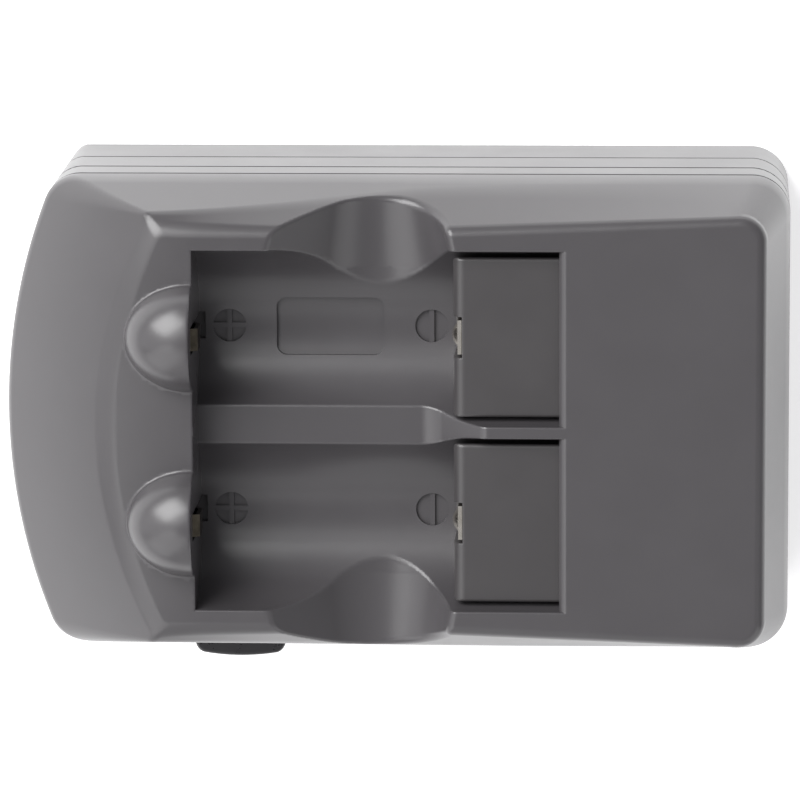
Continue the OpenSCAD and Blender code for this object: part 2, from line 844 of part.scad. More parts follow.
// Dimpled strip in the slider front, with a tail that leads back to the spring
module negative_contact(s) {
    x = slider_front + strip_t + 0.05;
    dimple_r = 1.6;
    dimple_x = slider_front + strip_t + dimple_r - dimple_reach;
    color(nickel)
    translate([0, s * bay_y, 0]) {
        block(x, x + strip_t, -strip_w / 2, strip_w / 2, slider_bottom + 1.1, slider_top - 0.3);
        intersection() {
            translate([dimple_x, 0, slider_top - 2.4])
                sphere(r = dimple_r);
            block(dimple_x - 2 * dimple_r, x + strip_t / 2, -strip_w, strip_w, 0, top_z);
        }
        block(x, spring_start, -strip_w / 4, strip_w / 4, spring_z - strip_t / 2, spring_z + strip_t / 2);
        translate([spring_start, 0, spring_z])
            rotate([0, 90, 0])
                cylinder(r = spring_r, h = strip_t);
    }
}

// Coil swept round its axis: rings of points joined into one closed skin
module coil(r, wire, length, turns, sides) {
    steps = turns * 12;
    w = wire / 2;
    rise = length - wire;
    ring = [for (i = [0:steps])
        let (a = 360 * turns * i / steps, x = w + rise * i / steps)
        [for (j = [0:sides - 1])
            let (b = 360 * j / sides, q = r - w + w * cos(b))
            [x + w * sin(b), q * cos(a), q * sin(a)]]];
    points = [for (k = ring) for (p = k) p];
    last = steps * sides;
    faces = concat(
        [[for (j = [0:sides - 1]) j]],
        [for (i = [0:steps - 1], j = [0:sides - 1])
            let (n = (j + 1) % sides)
            [i * sides + j, (i + 1) * sides + j, (i + 1) * sides + n, i * sides + n]],
        [[for (j = [0:sides - 1]) last + sides - 1 - j]]
    );
    polyhedron(points = points, faces = faces, convexity = 10);
}

module slider_spring(s) {
    x0 = spring_start + strip_t + fit;
    color(nickel)
    translate([x0, s * bay_y, spring_z])
        coil(spring_r, spring_wire, channel_end - strip_t - fit - x0, spring_turns, 6);
}

// Plate at the end of the channel that takes the spring and leads down to the board
module spring_terminal(s) {
    color(nickel)
    translate([0, s * bay_y, 0]) {
        block(channel_end - strip_t, channel_end, -spring_r - 0.6, spring_r + 0.6,
            spring_z - spring_r - 0.4, spring_z + spring_r + 0.4);
        block(channel_end - strip_t, channel_end, -strip_w / 2, strip_w / 2, board_top, spring_z);
    }
}

// Strip behind the bay wall with a nose that reaches the cell through the slot
module positive_contact(s) {
    x = bay_left - bay_shell - 0.2 - strip_t;
    tip = bay_left + nose_reach;
    color(nickel)
    translate([0, s * bay_y, 0]) {
        block(x, x + strip_t, -strip_w / 2, strip_w / 2, board_top, axis_z + 1.2);
        along_y(-nose_w / 2, nose_w / 2)
            polygon([
                [x + strip_t - 0.1, axis_z + 1.2],
                [tip, axis_z],
                [tip, axis_z - 3],
                [x + strip_t - 0.1, axis_z - 6.5],
                [x + strip_t - 0.1, axis_z - 6],
                [tip - strip_t, axis_z - 2.8],
                [tip - strip_t, axis_z - 0.2],
                [x + strip_t - 0.1, axis_z + 0.7]
            ]);
    }
}

// Outline of the knob from above: a bowed face between two rounded ends
module knob_plan() {
    r = 1;
    face = -half_w - knob_out;
    reach = knob_l / 2 - r;
    bow_r = (knob_l * knob_l / 4 + knob_bow * knob_bow) / (2 * knob_bow);
    end_y = face + bow_r - sqrt(pow(bow_r - r, 2) - reach * reach);
    half = asin(reach / bow_r);
    hull() {
        polygon(arc(knob_x, face + bow_r, bow_r, 270 - half, 270 + half, 10));
        for (t = [-1, 1])
            translate([knob_x + t * reach, end_y])
                circle(r = r, $fn = 32);
        translate([knob_x - knob_l / 2, end_y])
            square([knob_l, -half_w - 0.15 - end_y]);
    }
}

module selector_knob() {
    color(black)
    difference() {
        union() {
            translate([0, 0, knob_z - knob_h / 2])
                linear_extrude(knob_h)
                    knob_plan();
            block(knob_x - stem_l / 2, knob_x + stem_l / 2, -half_w - 1, wall + 1.4 - half_w,
                knob_z - stem_h / 2, knob_z + stem_h / 2);
        }
        block(knob_x - lever_l / 2 - fit, knob_x + lever_l / 2 + fit, wall - 0.1 - half_w, half_w,
            knob_z - stem_h, knob_z + stem_h);
    }
}

// Lever of the switch, held in the fork of the knob
module switch_actuator() {
    tip_y = wall + lever_reach - half_w;
    low = knob_z - lever_h / 2;
    high = knob_z + lever_h / 2;
    color(black) {
        block(knob_x - lever_l / 2, knob_x + lever_l / 2, wall - half_w, tip_y, low, high);
        block(knob_x - lever_l * 3 / 4, knob_x + lever_l * 3 / 4, tip_y - 0.1,
            tip_y + lever_h * 0.4, low, high);
    }
}

module selector_switch() {
    y0 = wall + lever_reach - 0.7 - half_w;
    room_x = lever_l * 3 / 4 + 0.1;
    room_z = lever_h / 2 + 0.1;
    color("silver")
    difference() {
        block(knob_x - lever_l * 3 / 2, knob_x + lever_l * 3 / 2 + knob_travel, y0, y0 + switch_w,
            board_top, knob_z + room_z + 2 * switch_wall);
        block(knob_x - room_x, knob_x + room_x + knob_travel, y0 + switch_wall,
            y0 + 0.9 + lever_h * 0.4, knob_z - room_z, knob_z + room_z);
        block(knob_x - lever_l / 2 - 0.1, knob_x + lever_l / 2 + 0.1 + knob_travel, y0 - 1,
            y0 + switch_wall + 0.1, knob_z - room_z, knob_z + room_z);
    }
}

module circuit_board() {
    color("darkgreen")
    difference() {
        block(board_left, board_right, -board_half_w, board_half_w, board_z, board_top);
        boss_places()
            cylinder(r = boss_r + 0.3, h = top_z);
        for (x = post_x, s = [-1, 1])
            translate([x, s * (board_half_w - 3), 0])
                cylinder(r = 0.9, h = top_z);
    }
}

// Split core with a bobbin and its winding between the legs
module transformer() {
    leg = core_w / 5;
    flange = 1.2;
    wound_l = core_l - 2 * leg;
    x = -core_l / 2;
    translate([core_x, 0, board_top]) {
        color("dimgray")
        difference() {
            block(x, -x, -core_w / 2, core_w / 2, 1.6, core_h);
            for (t = [0, 180])
                rotate([0, 0, t])
                    block(x + leg, -x - leg, leg, core_w, 0, core_h + 1);
        }
        color("dimgray")
        for (t = [x + leg, -x - leg - flange])
            block(t, t + flange, -core_w / 2 - 0.4, core_w / 2 + 0.4, 0, core_h + 0.4);
        color("goldenrod")
        along_x(x + leg + flange, x + leg + wound_l - flange)
            translate([0, core_h / 2 + 0.6])
                circle(r = core_h / 2 - 0.2);
    }
}

module lying_can(r, length) {
    translate([0, -length / 2, board_top + r])
        rotate([-90, 0, 0]) {
            cylinder(r = r, h = length * 0.12);
            cylinder(r = r - 0.3, h = length * 0.18);
            translate([0, 0, length * 0.16])
                cylinder(r = r, h = length * 0.84);
        }
}

module mains_capacitor() {
    color("black")
    translate([mains_can_x, 0, 0])
        lying_can(mains_can_r, mains_can_l);
}

module output_capacitor() {
    color("navy")
    translate([output_can_x, 0, 0])
        lying_can(output_can_r, output_can_l);
}

// Package with gull-wing leads along both sides
module chip(length, height, leads) {
    pitch = (length - 1.2) / (leads - 1);
    translate([0, 0, 0.2])
        cube([length, chip_w, height]);
    for (i = [0:leads - 1])
        translate([0.4 + i * pitch, -1, 0])
            cube([0.4, chip_w + 2, 0.5]);
}

module controller_chip() {
    color([0.15, 0.15, 0.15])
    translate([output_can_x - output_can_r - chip_gap - chip_l, part_gap, board_top])
        chip(chip_l, 1.4, 4);
}

module bridge_rectifier() {
    color([0.12, 0.12, 0.12])
    translate([mains_can_x + 0.5, screw_right_side - half_w + boss_r + rectifier_gap, board_top])
        chip(chip_l - 0.4, 2.3, 2);
}

module fuse() {
    color("peru")
    translate([core_x + core_l / 2 + 0.5, core_w, board_top + fuse_r])
        rotate([-90, 0, 0]) {
            cylinder(r = fuse_r, h = fuse_l);
            translate([0, 0, -1.2])
                cylinder(r = 0.35, h = fuse_l + 2.4);
        }
}

module plug_carrier() {
    color(dark_grey)
    difference() {
        union() {
            translate([pivot_x, barrel_l / 2, pivot_z])
                rotate([90, 0, 0])
                    cylinder(r = barrel_r, h = barrel_l);
            translate([pivot_x, recess_half_w + pin_l, pivot_z])
                rotate([90, 0, 0])
                    cylinder(r = pin_r, h = 2 * (recess_half_w + pin_l));
            block(pivot_x, pivot_x + barrel_r, -barrel_l / 2, barrel_l / 2, pivot_z - 2.2, pivot_z + 2.2);
        }
        for (s = [-1, 1])
            block(pivot_x - barrel_r - 1, pivot_x + barrel_r + 1, s * blade_pitch / 2 - blade_w / 2,
                s * blade_pitch / 2 + blade_w / 2, pivot_z - blade_t / 2, pivot_z + blade_t / 2);
    }
}

// Flat blade with a round-cornered tip and the usual hole
module plug_blade(s) {
    y = s * blade_pitch / 2;
    x1 = pivot_x + barrel_r + blade_l;
    tip = 1.8;
    color(nickel)
    translate([0, y, pivot_z - blade_t / 2])
        linear_extrude(blade_t)
            difference() {
                union() {
                    translate([pivot_x - barrel_r + 0.25, -blade_w / 2])
                        square([x1 - tip - pivot_x + barrel_r - 0.25, blade_w]);
                    translate([x1 - tip - 1, tip - blade_w / 2])
                        square([tip + 1, blade_w - 2 * tip]);
                    for (t = [-1, 1])
                        translate([x1 - tip, t * (blade_w / 2 - tip)])
                            circle(r = tip);
                }
                translate([x1 - 4.2, 0])
                    circle(r = blade_hole_r);
            }
}

// Strip on the recess roof that touches the blade root when the plug is out
module blade_spring(s) {
    y = s * blade_pitch / 2;
    base = recess_roof + recess_shell;
    half = blade_spring_w / 2;
    end = pivot_x + blade_spring_l;
    color(nickel)
    translate([0, y, 0]) {
        block(pivot_x + 1.8, end, -half, half, base, base + strip_t);
        block(end - strip_t, end, -half, half, base, board_z);
        along_y(-half, half)
            polygon([
                [pivot_x + 1.9, base],
                [pivot_x + 1.9, base + strip_t],
                [pivot_x + 0.9, base + strip_t],
                [pivot_x - 0.4, pivot_z + barrel_r + 0.15 + strip_t],
                [pivot_x - 1.2, base],
                [pivot_x - 1.2, base - 0.5],
                [pivot_x - 0.5, pivot_z + barrel_r + 0.15],
                [pivot_x + 0.4, pivot_z + barrel_r + 0.15],
                [pivot_x + 1.2, base]
            ]);
    }
}

module cover_screws() {
    seat = parting_z - screw_l / 2;
    color("gray")
    boss_places()
        difference() {
            union() {
                translate([0, 0, seat - 1.6])
                    cylinder(r = head_r, h = 1.6);
                translate([0, 0, seat - 0.1])
                    cylinder(r = screw_r - 0.1, h = screw_l / 2 + belt_z - parting_z - 1);
            }
            for (a = [0, 90])
                translate([0, 0, seat - 1.8])
                    rotate([0, 0, a])
                        cube([2.4, 0.5, 2], center = true);
        }
}

front_housing();
rear_cover();
slider(1);  // slider_upper
slider(-1);  // slider_lower
negative_contact(1);  // negative_contact_upper
negative_contact(-1);  // negative_contact_lower
slider_spring(1);  // slider_spring_upper
slider_spring(-1);  // slider_spring_lower
spring_terminal(1);  // spring_terminal_upper
spring_terminal(-1);  // spring_terminal_lower
slider_keeper(1);  // slider_keeper_upper
slider_keeper(-1);  // slider_keeper_lower
positive_contact(1);  // positive_contact_upper
positive_contact(-1);  // positive_contact_lower
selector_knob();
switch_actuator();
selector_switch();
circuit_board();
transformer();
mains_capacitor();
output_capacitor();
controller_chip();
bridge_rectifier();
fuse();
plug_carrier();
plug_blade(-1);  // plug_blade_left
plug_blade(1);  // plug_blade_right
blade_spring(-1);  // blade_spring_left
blade_spring(1);  // blade_spring_right
cover_screws();
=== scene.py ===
import functools
import math
import bpy
import numpy as np
from mathutils import Matrix, Vector


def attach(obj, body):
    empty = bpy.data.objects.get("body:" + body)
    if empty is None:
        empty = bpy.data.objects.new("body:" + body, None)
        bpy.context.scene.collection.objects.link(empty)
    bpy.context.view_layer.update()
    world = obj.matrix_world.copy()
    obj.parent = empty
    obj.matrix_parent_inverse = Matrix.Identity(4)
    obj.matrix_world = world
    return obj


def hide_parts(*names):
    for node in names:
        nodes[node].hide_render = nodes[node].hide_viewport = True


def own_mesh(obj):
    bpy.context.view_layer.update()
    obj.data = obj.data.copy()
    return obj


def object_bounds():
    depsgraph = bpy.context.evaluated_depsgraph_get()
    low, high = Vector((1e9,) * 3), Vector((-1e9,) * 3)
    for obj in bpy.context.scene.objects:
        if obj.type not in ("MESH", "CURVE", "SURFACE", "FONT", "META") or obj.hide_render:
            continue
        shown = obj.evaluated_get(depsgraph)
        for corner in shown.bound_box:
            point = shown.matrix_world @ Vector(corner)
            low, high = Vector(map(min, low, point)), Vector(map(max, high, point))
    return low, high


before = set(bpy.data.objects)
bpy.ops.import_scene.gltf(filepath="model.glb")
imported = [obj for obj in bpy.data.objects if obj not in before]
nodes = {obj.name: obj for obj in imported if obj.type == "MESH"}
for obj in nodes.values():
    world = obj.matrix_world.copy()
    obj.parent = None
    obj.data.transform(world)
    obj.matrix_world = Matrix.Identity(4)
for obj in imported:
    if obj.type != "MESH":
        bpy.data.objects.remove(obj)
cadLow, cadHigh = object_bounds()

# Two-bay lithium cell charger, lying on its back. Sizes below are in millimetres
# in the frame of the CAD model; meshes are turned to metres when they are made.
mm = 0.001
print("frame loaded:", len(nodes), "nodes")


# Camera and light
cameraSet = {
    "place": (32.56, 106.06, 593.23),
    "tilt": 0.18213,       # radians, how far the view leans towards the rear edge
    "turn": 0.05568,
    "roll": 0.00512,
    "lens": 252.0,
    "sensor": 36.0,
    "clip": (0.01, 20),    # metres
}


def makeCamera(c):
    ct, st = math.cos(c["tilt"]), math.sin(c["tilt"])
    cp, sp = math.cos(c["turn"]), math.sin(c["turn"])
    cr, sr = math.cos(c["roll"]), math.sin(c["roll"])
    tilt = Matrix(((1, 0, 0), (0, ct, -st), (0, st, ct)))
    turn = Matrix(((cp, 0, -sp), (0, 1, 0), (sp, 0, cp)))
    roll = Matrix(((cr, sr, 0), (-sr, cr, 0), (0, 0, 1)))
    look = (roll @ turn @ tilt).transposed().to_4x4()
    data = bpy.data.cameras.new("camera")
    data.lens = c["lens"]
    data.sensor_width = c["sensor"]
    data.clip_start, data.clip_end = c["clip"]
    camera = bpy.data.objects.new("camera", data)
    bpy.context.scene.collection.objects.link(camera)
    camera.matrix_world = Matrix.Translation(Vector(c["place"]) * mm) @ look
    bpy.context.scene.camera = camera


lightSet = {
    "tent": {"colour": "F6F6FA", "strength": 0.39},
    "distance": 1300,
    "aim": (0, 0, 15),
    "softboxes": [     # name, compass angle, height angle, width, height, watts
        ("keyBox", 133, 38, 940, 860, 23.5),
        ("keyTop", 135, 62, 560, 500, 2.2),
        ("leftBox", 180, 37, 850, 1500, 4.0),
        ("frontLeftBox", 225, 37, 850, 1500, 7.6),
        ("frontBox", 270, 25, 900, 1100, 2.0),
        ("frontRightBox", 315, 25, 900, 1100, 4.2),
    ],
}


def linear(code):     # sRGB hex to a linear colour
    parts = [int(code[i:i + 2], 16) / 255 for i in (0, 2, 4)]
    light = [p / 12.92 if p <= 0.04045 else ((p + 0.055) / 1.055) ** 2.4 for p in parts]
    return (*light, 1.0)


def makeLights(s):
    world = bpy.data.worlds.new("lightTent")
    bpy.context.scene.world = world
    world.use_nodes = True
    background = world.node_tree.nodes["Background"]
    background.inputs["Color"].default_value = linear(s["tent"]["colour"])
    background.inputs["Strength"].default_value = s["tent"]["strength"]
    aim = Vector(s["aim"]) * mm
    for name, compass, height, width, tall, watts in s["softboxes"]:
        data = bpy.data.lights.new(name, "AREA")
        data.shape = "RECTANGLE"
        data.size, data.size_y = width * mm, tall * mm
        data.energy = watts
        light = bpy.data.objects.new(name, data)
        bpy.context.scene.collection.objects.link(light)
        a, e = math.radians(compass), math.radians(height)
        away = Vector((math.cos(a) * math.cos(e), math.sin(a) * math.cos(e), math.sin(e)))
        light.location = aim + away * s["distance"] * mm
        light.rotation_mode = "QUATERNION"
        light.rotation_quaternion = away.to_track_quat("Z", "Y")
        light.visible_camera = False      # it lights every view and shows in none


makeCamera(cameraSet)
makeLights(lightSet)
bpy.context.scene.view_settings.view_transform = "Standard"
print("camera and light are in place")


# Materials
def addNode(tree, kind, inputs=None, **settings):     # a node with its settings, values and links
    node = tree.nodes.new(kind)
    for name, value in settings.items():
        setattr(node, name, value)
    for name, value in (inputs or {}).items():
        if isinstance(value, bpy.types.NodeSocket):
            tree.links.new(value, node.inputs[name])
        else:
            node.inputs[name].default_value = value
    return node


def newMaterial(name):
    material = bpy.data.materials.new(name)
    material.use_nodes = True
    tree = material.node_tree
    place = addNode(tree, "ShaderNodeTexCoord").outputs["Object"]
    return material, tree, tree.nodes["Principled BSDF"], place


def noise(tree, place, size, detail, roughness=0.5):     # size of its cells in millimetres
    values = {"Vector": place, "Scale": 1.0 / (size * mm), "Detail": detail, "Roughness": roughness}
    return addNode(tree, "ShaderNodeTexNoise", values, noise_dimensions="3D").outputs["Fac"]


def drift(tree, value, s, ends):     # colour that drifts between two near tones
    tone = addNode(tree, "ShaderNodeValToRGB", {"Fac": value})
    for stop, place, code in zip(tone.color_ramp.elements, ends, (s["dark"], s["light"])):
        stop.position = place
        stop.color = linear(code)
    return tone.outputs["Color"]


noiseSpan = (0.3, 0.7)      # most of a noise lies between these


def skin(tree, shader, s, colour, gloss, relief, strength):     # colour, uneven gloss and relief
    shine = addNode(tree, "ShaderNodeMapRange", {
        "Value": gloss, "From Min": noiseSpan[0], "From Max": noiseSpan[1],
        "To Min": s["roughness"][0], "To Max": s["roughness"][1]})
    bump = addNode(tree, "ShaderNodeBump", {
        "Height": relief, "Strength": strength, "Distance": s["height"] * mm})
    tree.links.new(colour, shader.inputs["Base Color"])
    tree.links.new(shine.outputs["Result"], shader.inputs["Roughness"])
    tree.links.new(bump.outputs["Normal"], shader.inputs["Normal"])


def mouldedPlastic(name, s):     # even grain, and a tone and gloss that drift with the flow
    material, tree, shader, place = newMaterial(name)
    grain = noise(tree, place, s["grain"], 3.0, 0.55)
    flow = noise(tree, place, s["flow"], 4.0, 0.6)
    skin(tree, shader, s, drift(tree, flow, s, (0.32, 0.68)), flow, grain, s["strength"])
    shader.inputs["IOR"].default_value = s["ior"]
    return material


def platedMetal(name, s):     # sheet or wire: lines along one axis, patches in the plating
    material, tree, shader, place = newMaterial(name)
    along = addNode(tree, "ShaderNodeMapping", {"Vector": place, "Scale": s["along"]})
    lines = noise(tree, along.outputs["Vector"], s["lines"], 3.0)
    patches = noise(tree, place, s["patches"], 3.0)
    skin(tree, shader, s, drift(tree, patches, s, noiseSpan), lines, lines, strength=0.35)
    shader.inputs["Metallic"].default_value = 1.0
    return material


# Below, grain, flow, lines, patches and height are in millimetres.

# ABS moulded in a spark-eroded tool: a fine even grain that makes the gloss soft and wide
housingAbs = mouldedPlastic("housing_abs_spark_grain", {
    "dark": "424042", "light": "444244", "roughness": (0.28, 0.31), "ior": 1.53,
    "grain": 0.16, "flow": 9.0, "strength": 0.22, "height": 0.02})
# ABS moulded in a tool with a duller, finer grain: less gloss, so it looks a little darker
sliderAbs = mouldedPlastic("slider_abs_fine_grain", {
    "dark": "383637", "light": "3A3839", "roughness": (0.34, 0.38), "ior": 1.53,
    "grain": 0.12, "flow": 6.0, "strength": 0.2, "height": 0.015})
# Black ABS from a polished tool: smooth, with a sharper gloss
knobAbs = mouldedPlastic("knob_abs_polished_tool", {
    "dark": "262527", "light": "2A292B", "roughness": (0.26, 0.32), "ior": 1.53,
    "grain": 0.3, "flow": 3.0, "strength": 0.08, "height": 0.01})
# Steel strip, rolled and nickel-plated: bright, with faint rolling lines along the strip
nickelSteel = platedMetal("nickel_plated_steel_rolled", {
    "dark": "D2CCC1", "light": "E6E1D8", "roughness": (0.18, 0.27), "along": (1, 1, 0.08),
    "lines": 0.05, "patches": 1.5, "height": 0.0008})
# The same strip in a darker copy, brown and dull: painted shade, so it stays dark in its slot
paintedShadeNickel = platedMetal("nickel_plated_steel_painted_shade", {
    "dark": "3A362F", "light": "4E4940", "roughness": (0.30, 0.42), "along": (1, 1, 0.08),
    "lines": 0.05, "patches": 0.8, "height": 0.0008})
# Brass blades, stamped and then nickel-plated in a barrel: a soft and even shine
bladeNickel = platedMetal("nickel_plated_brass_stamped", {
    "dark": "B9B2A4", "light": "D3CDC0", "roughness": (0.22, 0.34), "along": (0.08, 1, 1),
    "lines": 0.07, "patches": 3.0, "height": 0.001})
# Spring steel, drawn to wire or cut from strip: grey and satin
springSteel = platedMetal("spring_steel_drawn", {
    "dark": "8B8A88", "light": "A9A8A5", "roughness": (0.28, 0.42), "along": (1, 1, 1),
    "lines": 0.08, "patches": 1.0, "height": 0.003})
# Screw steel, turned and zinc-plated: pale, with a faint yellow cast
screwSteel = platedMetal("zinc_plated_steel_turned", {
    "dark": "8F8C84", "light": "B4B1A8", "roughness": (0.30, 0.45), "along": (1, 1, 0.3),
    "lines": 0.10, "patches": 0.9, "height": 0.006})
# Tinned sheet of the switch can, rolled and folded: light grey, slightly dull
tinnedSteel = platedMetal("tinned_steel_sheet", {
    "dark": "9C9C9A", "light": "C2C2BF", "roughness": (0.30, 0.44), "along": (0.2, 1, 1),
    "lines": 0.08, "patches": 2.0, "height": 0.004})
# Glass and epoxy laminate, pressed and lacquered: green, with the weave faint in its gloss
boardLaminate = mouldedPlastic("board_epoxy_laminate", {
    "dark": "1F4A2B", "light": "2A5B36", "roughness": (0.28, 0.38), "ior": 1.54,
    "grain": 0.4, "flow": 4.0, "strength": 0.15, "height": 0.02})
# Ferrite, pressed and sintered: nearly black, dull and slightly rough
ferriteCore = mouldedPlastic("ferrite_sintered", {
    "dark": "2C2B2B", "light": "3A3938", "roughness": (0.55, 0.7), "ior": 1.5,
    "grain": 0.2, "flow": 3.0, "strength": 0.3, "height": 0.03})
# PVC sleeve, shrunk on the cans: dark, tight and glossy
canSleeve = mouldedPlastic("capacitor_sleeve_shrunk", {
    "dark": "15171F", "light": "1D2029", "roughness": (0.25, 0.34), "ior": 1.52,
    "grain": 0.5, "flow": 4.0, "strength": 0.12, "height": 0.02})
# Epoxy of the packages, moulded in a blasted tool: black and matt
mouldedEpoxy = mouldedPlastic("package_epoxy_moulded", {
    "dark": "191919", "light": "222222", "roughness": (0.5, 0.62), "ior": 1.55,
    "grain": 0.1, "flow": 1.5, "strength": 0.25, "height": 0.015})
# Ceramic tube of the fuse, glazed and fired: cream, with a clear gloss
fuseCeramic = mouldedPlastic("fuse_ceramic_glazed", {
    "dark": "B9A88C", "light": "CABA9E", "roughness": (0.22, 0.34), "ior": 1.55,
    "grain": 0.3, "flow": 2.0, "strength": 0.1, "height": 0.01})
print("materials are made")


# Meshes from distance fields, which are negative inside
def allOf(*fields):     # where all of them hold
    return functools.reduce(np.maximum, fields)


def anyOf(*fields):     # where any of them holds
    return functools.reduce(np.minimum, fields)


def carve(body, *cuts):     # the body without the cuts, with sharp edges
    return functools.reduce(lambda rest, piece: np.maximum(rest, -piece), cuts, body)


def roundMax(a, b, r):     # where both hold, with the edge between them rounded by r
    return np.minimum(-r, np.maximum(a, b)) + np.hypot(np.maximum(a + r, 0), np.maximum(b + r, 0))


def roundMin(a, b, r):     # a and b together, with the inner corner between them filled by r
    return -roundMax(-a, -b, r)


def cut(a, b, r):     # a without b, with the edge rounded by r
    return roundMax(a, -b, r)


def softMin(a, b, k):
    return np.minimum(a, b) - k / 4 * np.maximum(1 - np.abs(a - b) / k, 0) ** 2


def span(v, low, high):
    return np.maximum(low - v, v - high)


def blockField(x, y, z, x0, x1, y0, y1, z0, z1):
    return allOf(span(x, x0, x1), span(y, y0, y1), span(z, z0, z1))


far = 30      # further than any wall: an open side of a block


def stops(*marks):     # grid lines from (place, step up to the next place) pairs
    lines = []
    for (start, step), (end, _) in zip(marks, marks[1:]):
        count = max(1, round((end - start) / step))
        lines += [start + (end - start) * i / count for i in range(count)]
    return np.array(lines + [marks[-1][0]])


def mirrored(half):
    return np.concatenate([-half[::-1], half])


meshing = {
    "halvings": 9,          # of the span between two grid points that holds the surface
    "weak": 0.08,           # share of the strongest direction under which one is left out
    "margin": 0.03,         # share of a cell that its vertex keeps from the cell's sides
    "probe": 0.004,         # half length of the step that measures a slope
    "cornerShare": 0.7,     # how near to a face's corner its slope is measured
}


def slopeOf(field, p):     # unit slope of the field at points p
    g = np.empty_like(p)
    for axis in range(3):
        step = np.zeros(3)
        step[axis] = meshing["probe"]
        a, b = p + step, p - step
        g[:, axis] = field(a[:, 0], a[:, 1], a[:, 2]) - field(b[:, 0], b[:, 1], b[:, 2])
    return g / np.maximum(np.linalg.norm(g, axis=1, keepdims=True), 1e-12)


# where grid lines along one axis cross the surface, and the four cells round each crossing
def crossings(field, lines, f, axis):
    inside = f < 0
    cells = np.array(f.shape) - 1
    low, high = [slice(None)] * 3, [slice(None)] * 3
    low[axis], high[axis] = slice(0, -1), slice(1, None)
    ends = np.argwhere(inside[tuple(low)] != inside[tuple(high)])
    nextEnd = ends.copy()
    nextEnd[:, axis] += 1
    a = np.stack([lines[k][ends[:, k]] for k in range(3)], 1)
    b = np.stack([lines[k][nextEnd[:, k]] for k in range(3)], 1)
    start = f[tuple(ends.T)] < 0
    for _ in range(meshing["halvings"]):
        middle = (a + b) / 2
        fm = field(middle[:, 0], middle[:, 1], middle[:, 2])
        same = ((fm < 0) == start)[:, None]
        a, b = np.where(same, middle, a), np.where(same, b, middle)
    u, v = (axis + 1) % 3, (axis + 2) % 3
    around = []
    for du, dv in ((-1, -1), (0, -1), (0, 0), (-1, 0)):
        cell = ends.copy()
        cell[:, u] += du
        cell[:, v] += dv
        around.append((cell[:, 0] * cells[1] + cell[:, 1]) * cells[2] + cell[:, 2])
    around = np.stack(around, 1)
    return (a + b) / 2, around, np.where(start[:, None], around, around[:, ::-1])


# quads of the zero surface, with one vertex a cell, set on edges and corners where there are any
def contour(field, xs, ys, zs):
    lines = (xs, ys, zs)
    f = field(*np.meshgrid(xs, ys, zs, indexing="ij"))
    found = [crossings(field, lines, f, axis) for axis in range(3)]
    points, cellOf, quads = map(np.concatenate, zip(*found))
    slopes = slopeOf(field, points)
    ids, where = np.unique(cellOf.ravel(), return_inverse=True)
    p, n = np.repeat(points, 4, 0), np.repeat(slopes, 4, 0)
    count = np.bincount(where, minlength=len(ids))[:, None]

    def gather(values):
        return np.stack([np.bincount(where, c, len(ids)) for c in values.T], 1)

    # each vertex goes where the slopes at its cell's crossings agree best
    middle = gather(p) / count
    offset = np.einsum("ij,ij->i", n, p - middle[where])
    outer = gather((n[:, :, None] * n[:, None, :]).reshape(-1, 9)).reshape(-1, 3, 3)
    pull = gather(n * offset[:, None])
    size, axes = np.linalg.eigh(outer)
    size = np.where(size > meshing["weak"] * size[:, 2:], size, np.inf)
    move = np.einsum("nji,nj->ni", axes, pull) / size
    vertices = middle + np.einsum("nij,nj->ni", axes, move)
    cells = np.array(f.shape) - 1
    i, rest = np.divmod(ids, cells[1] * cells[2])
    j, k = np.divmod(rest, cells[2])
    for axis, index in enumerate((i, j, k)):
        lo, hi = lines[axis][index], lines[axis][index + 1]
        keep = meshing["margin"] * (hi - lo)
        vertices[:, axis] = np.clip(vertices[:, axis], lo + keep, hi - keep)
    return vertices, np.searchsorted(ids, quads)


def newPiece(name, vertices, faces):
    mesh = bpy.data.meshes.new(name)
    mesh.from_pydata((vertices * mm).tolist(), [], faces)
    piece = bpy.data.objects.new(name, mesh)
    bpy.context.scene.collection.objects.link(piece)
    return piece


# a piece made from a field, thinned to a share of its faces
def fieldPiece(name, field, xs, ys, zs, keepShare):
    vertices, quads = contour(field, xs, ys, zs)
    piece = newPiece(name, vertices, quads.tolist())
    mesh = piece.data
    mesh.validate()
    thin = piece.modifiers.new("thin", "DECIMATE")
    thin.ratio = keepShare
    bpy.context.view_layer.update()
    done = bpy.data.meshes.new_from_object(
        piece.evaluated_get(bpy.context.evaluated_depsgraph_get()))
    piece.modifiers.clear()
    piece.data = done
    bpy.data.meshes.remove(mesh)
    done.name = name
    shadeByField(done, field)
    triangles = sum(len(f.vertices) - 2 for f in done.polygons)
    print(" ", name, len(quads), "cells,", triangles, "triangles")
    return piece


def shadeByField(mesh, field):     # normals from the slope of the field itself
    at = np.empty(len(mesh.vertices) * 3)
    mesh.vertices.foreach_get("co", at)
    at = np.clip(at.reshape(-1, 3), cadLow, cadHigh)      # nothing stands out of the CAD box
    mesh.vertices.foreach_set("co", at.ravel())
    at = at / mm
    corner = np.empty(len(mesh.loops), np.int64)
    mesh.loops.foreach_get("vertex_index", corner)
    total = np.empty(len(mesh.polygons), np.int64)
    mesh.polygons.foreach_get("loop_total", total)
    face = np.repeat(np.arange(len(total)), total)
    centre = np.stack([np.bincount(face, at[corner, k], len(total)) for k in range(3)], 1)
    centre /= total[:, None]
    near = meshing["cornerShare"]
    normals = slopeOf(field, at[corner] * near + centre[face] * (1 - near))
    mesh.polygons.foreach_set("use_smooth", np.ones(len(total), bool))
    mesh.normals_split_custom_set(normals.tolist())
    mesh.update()


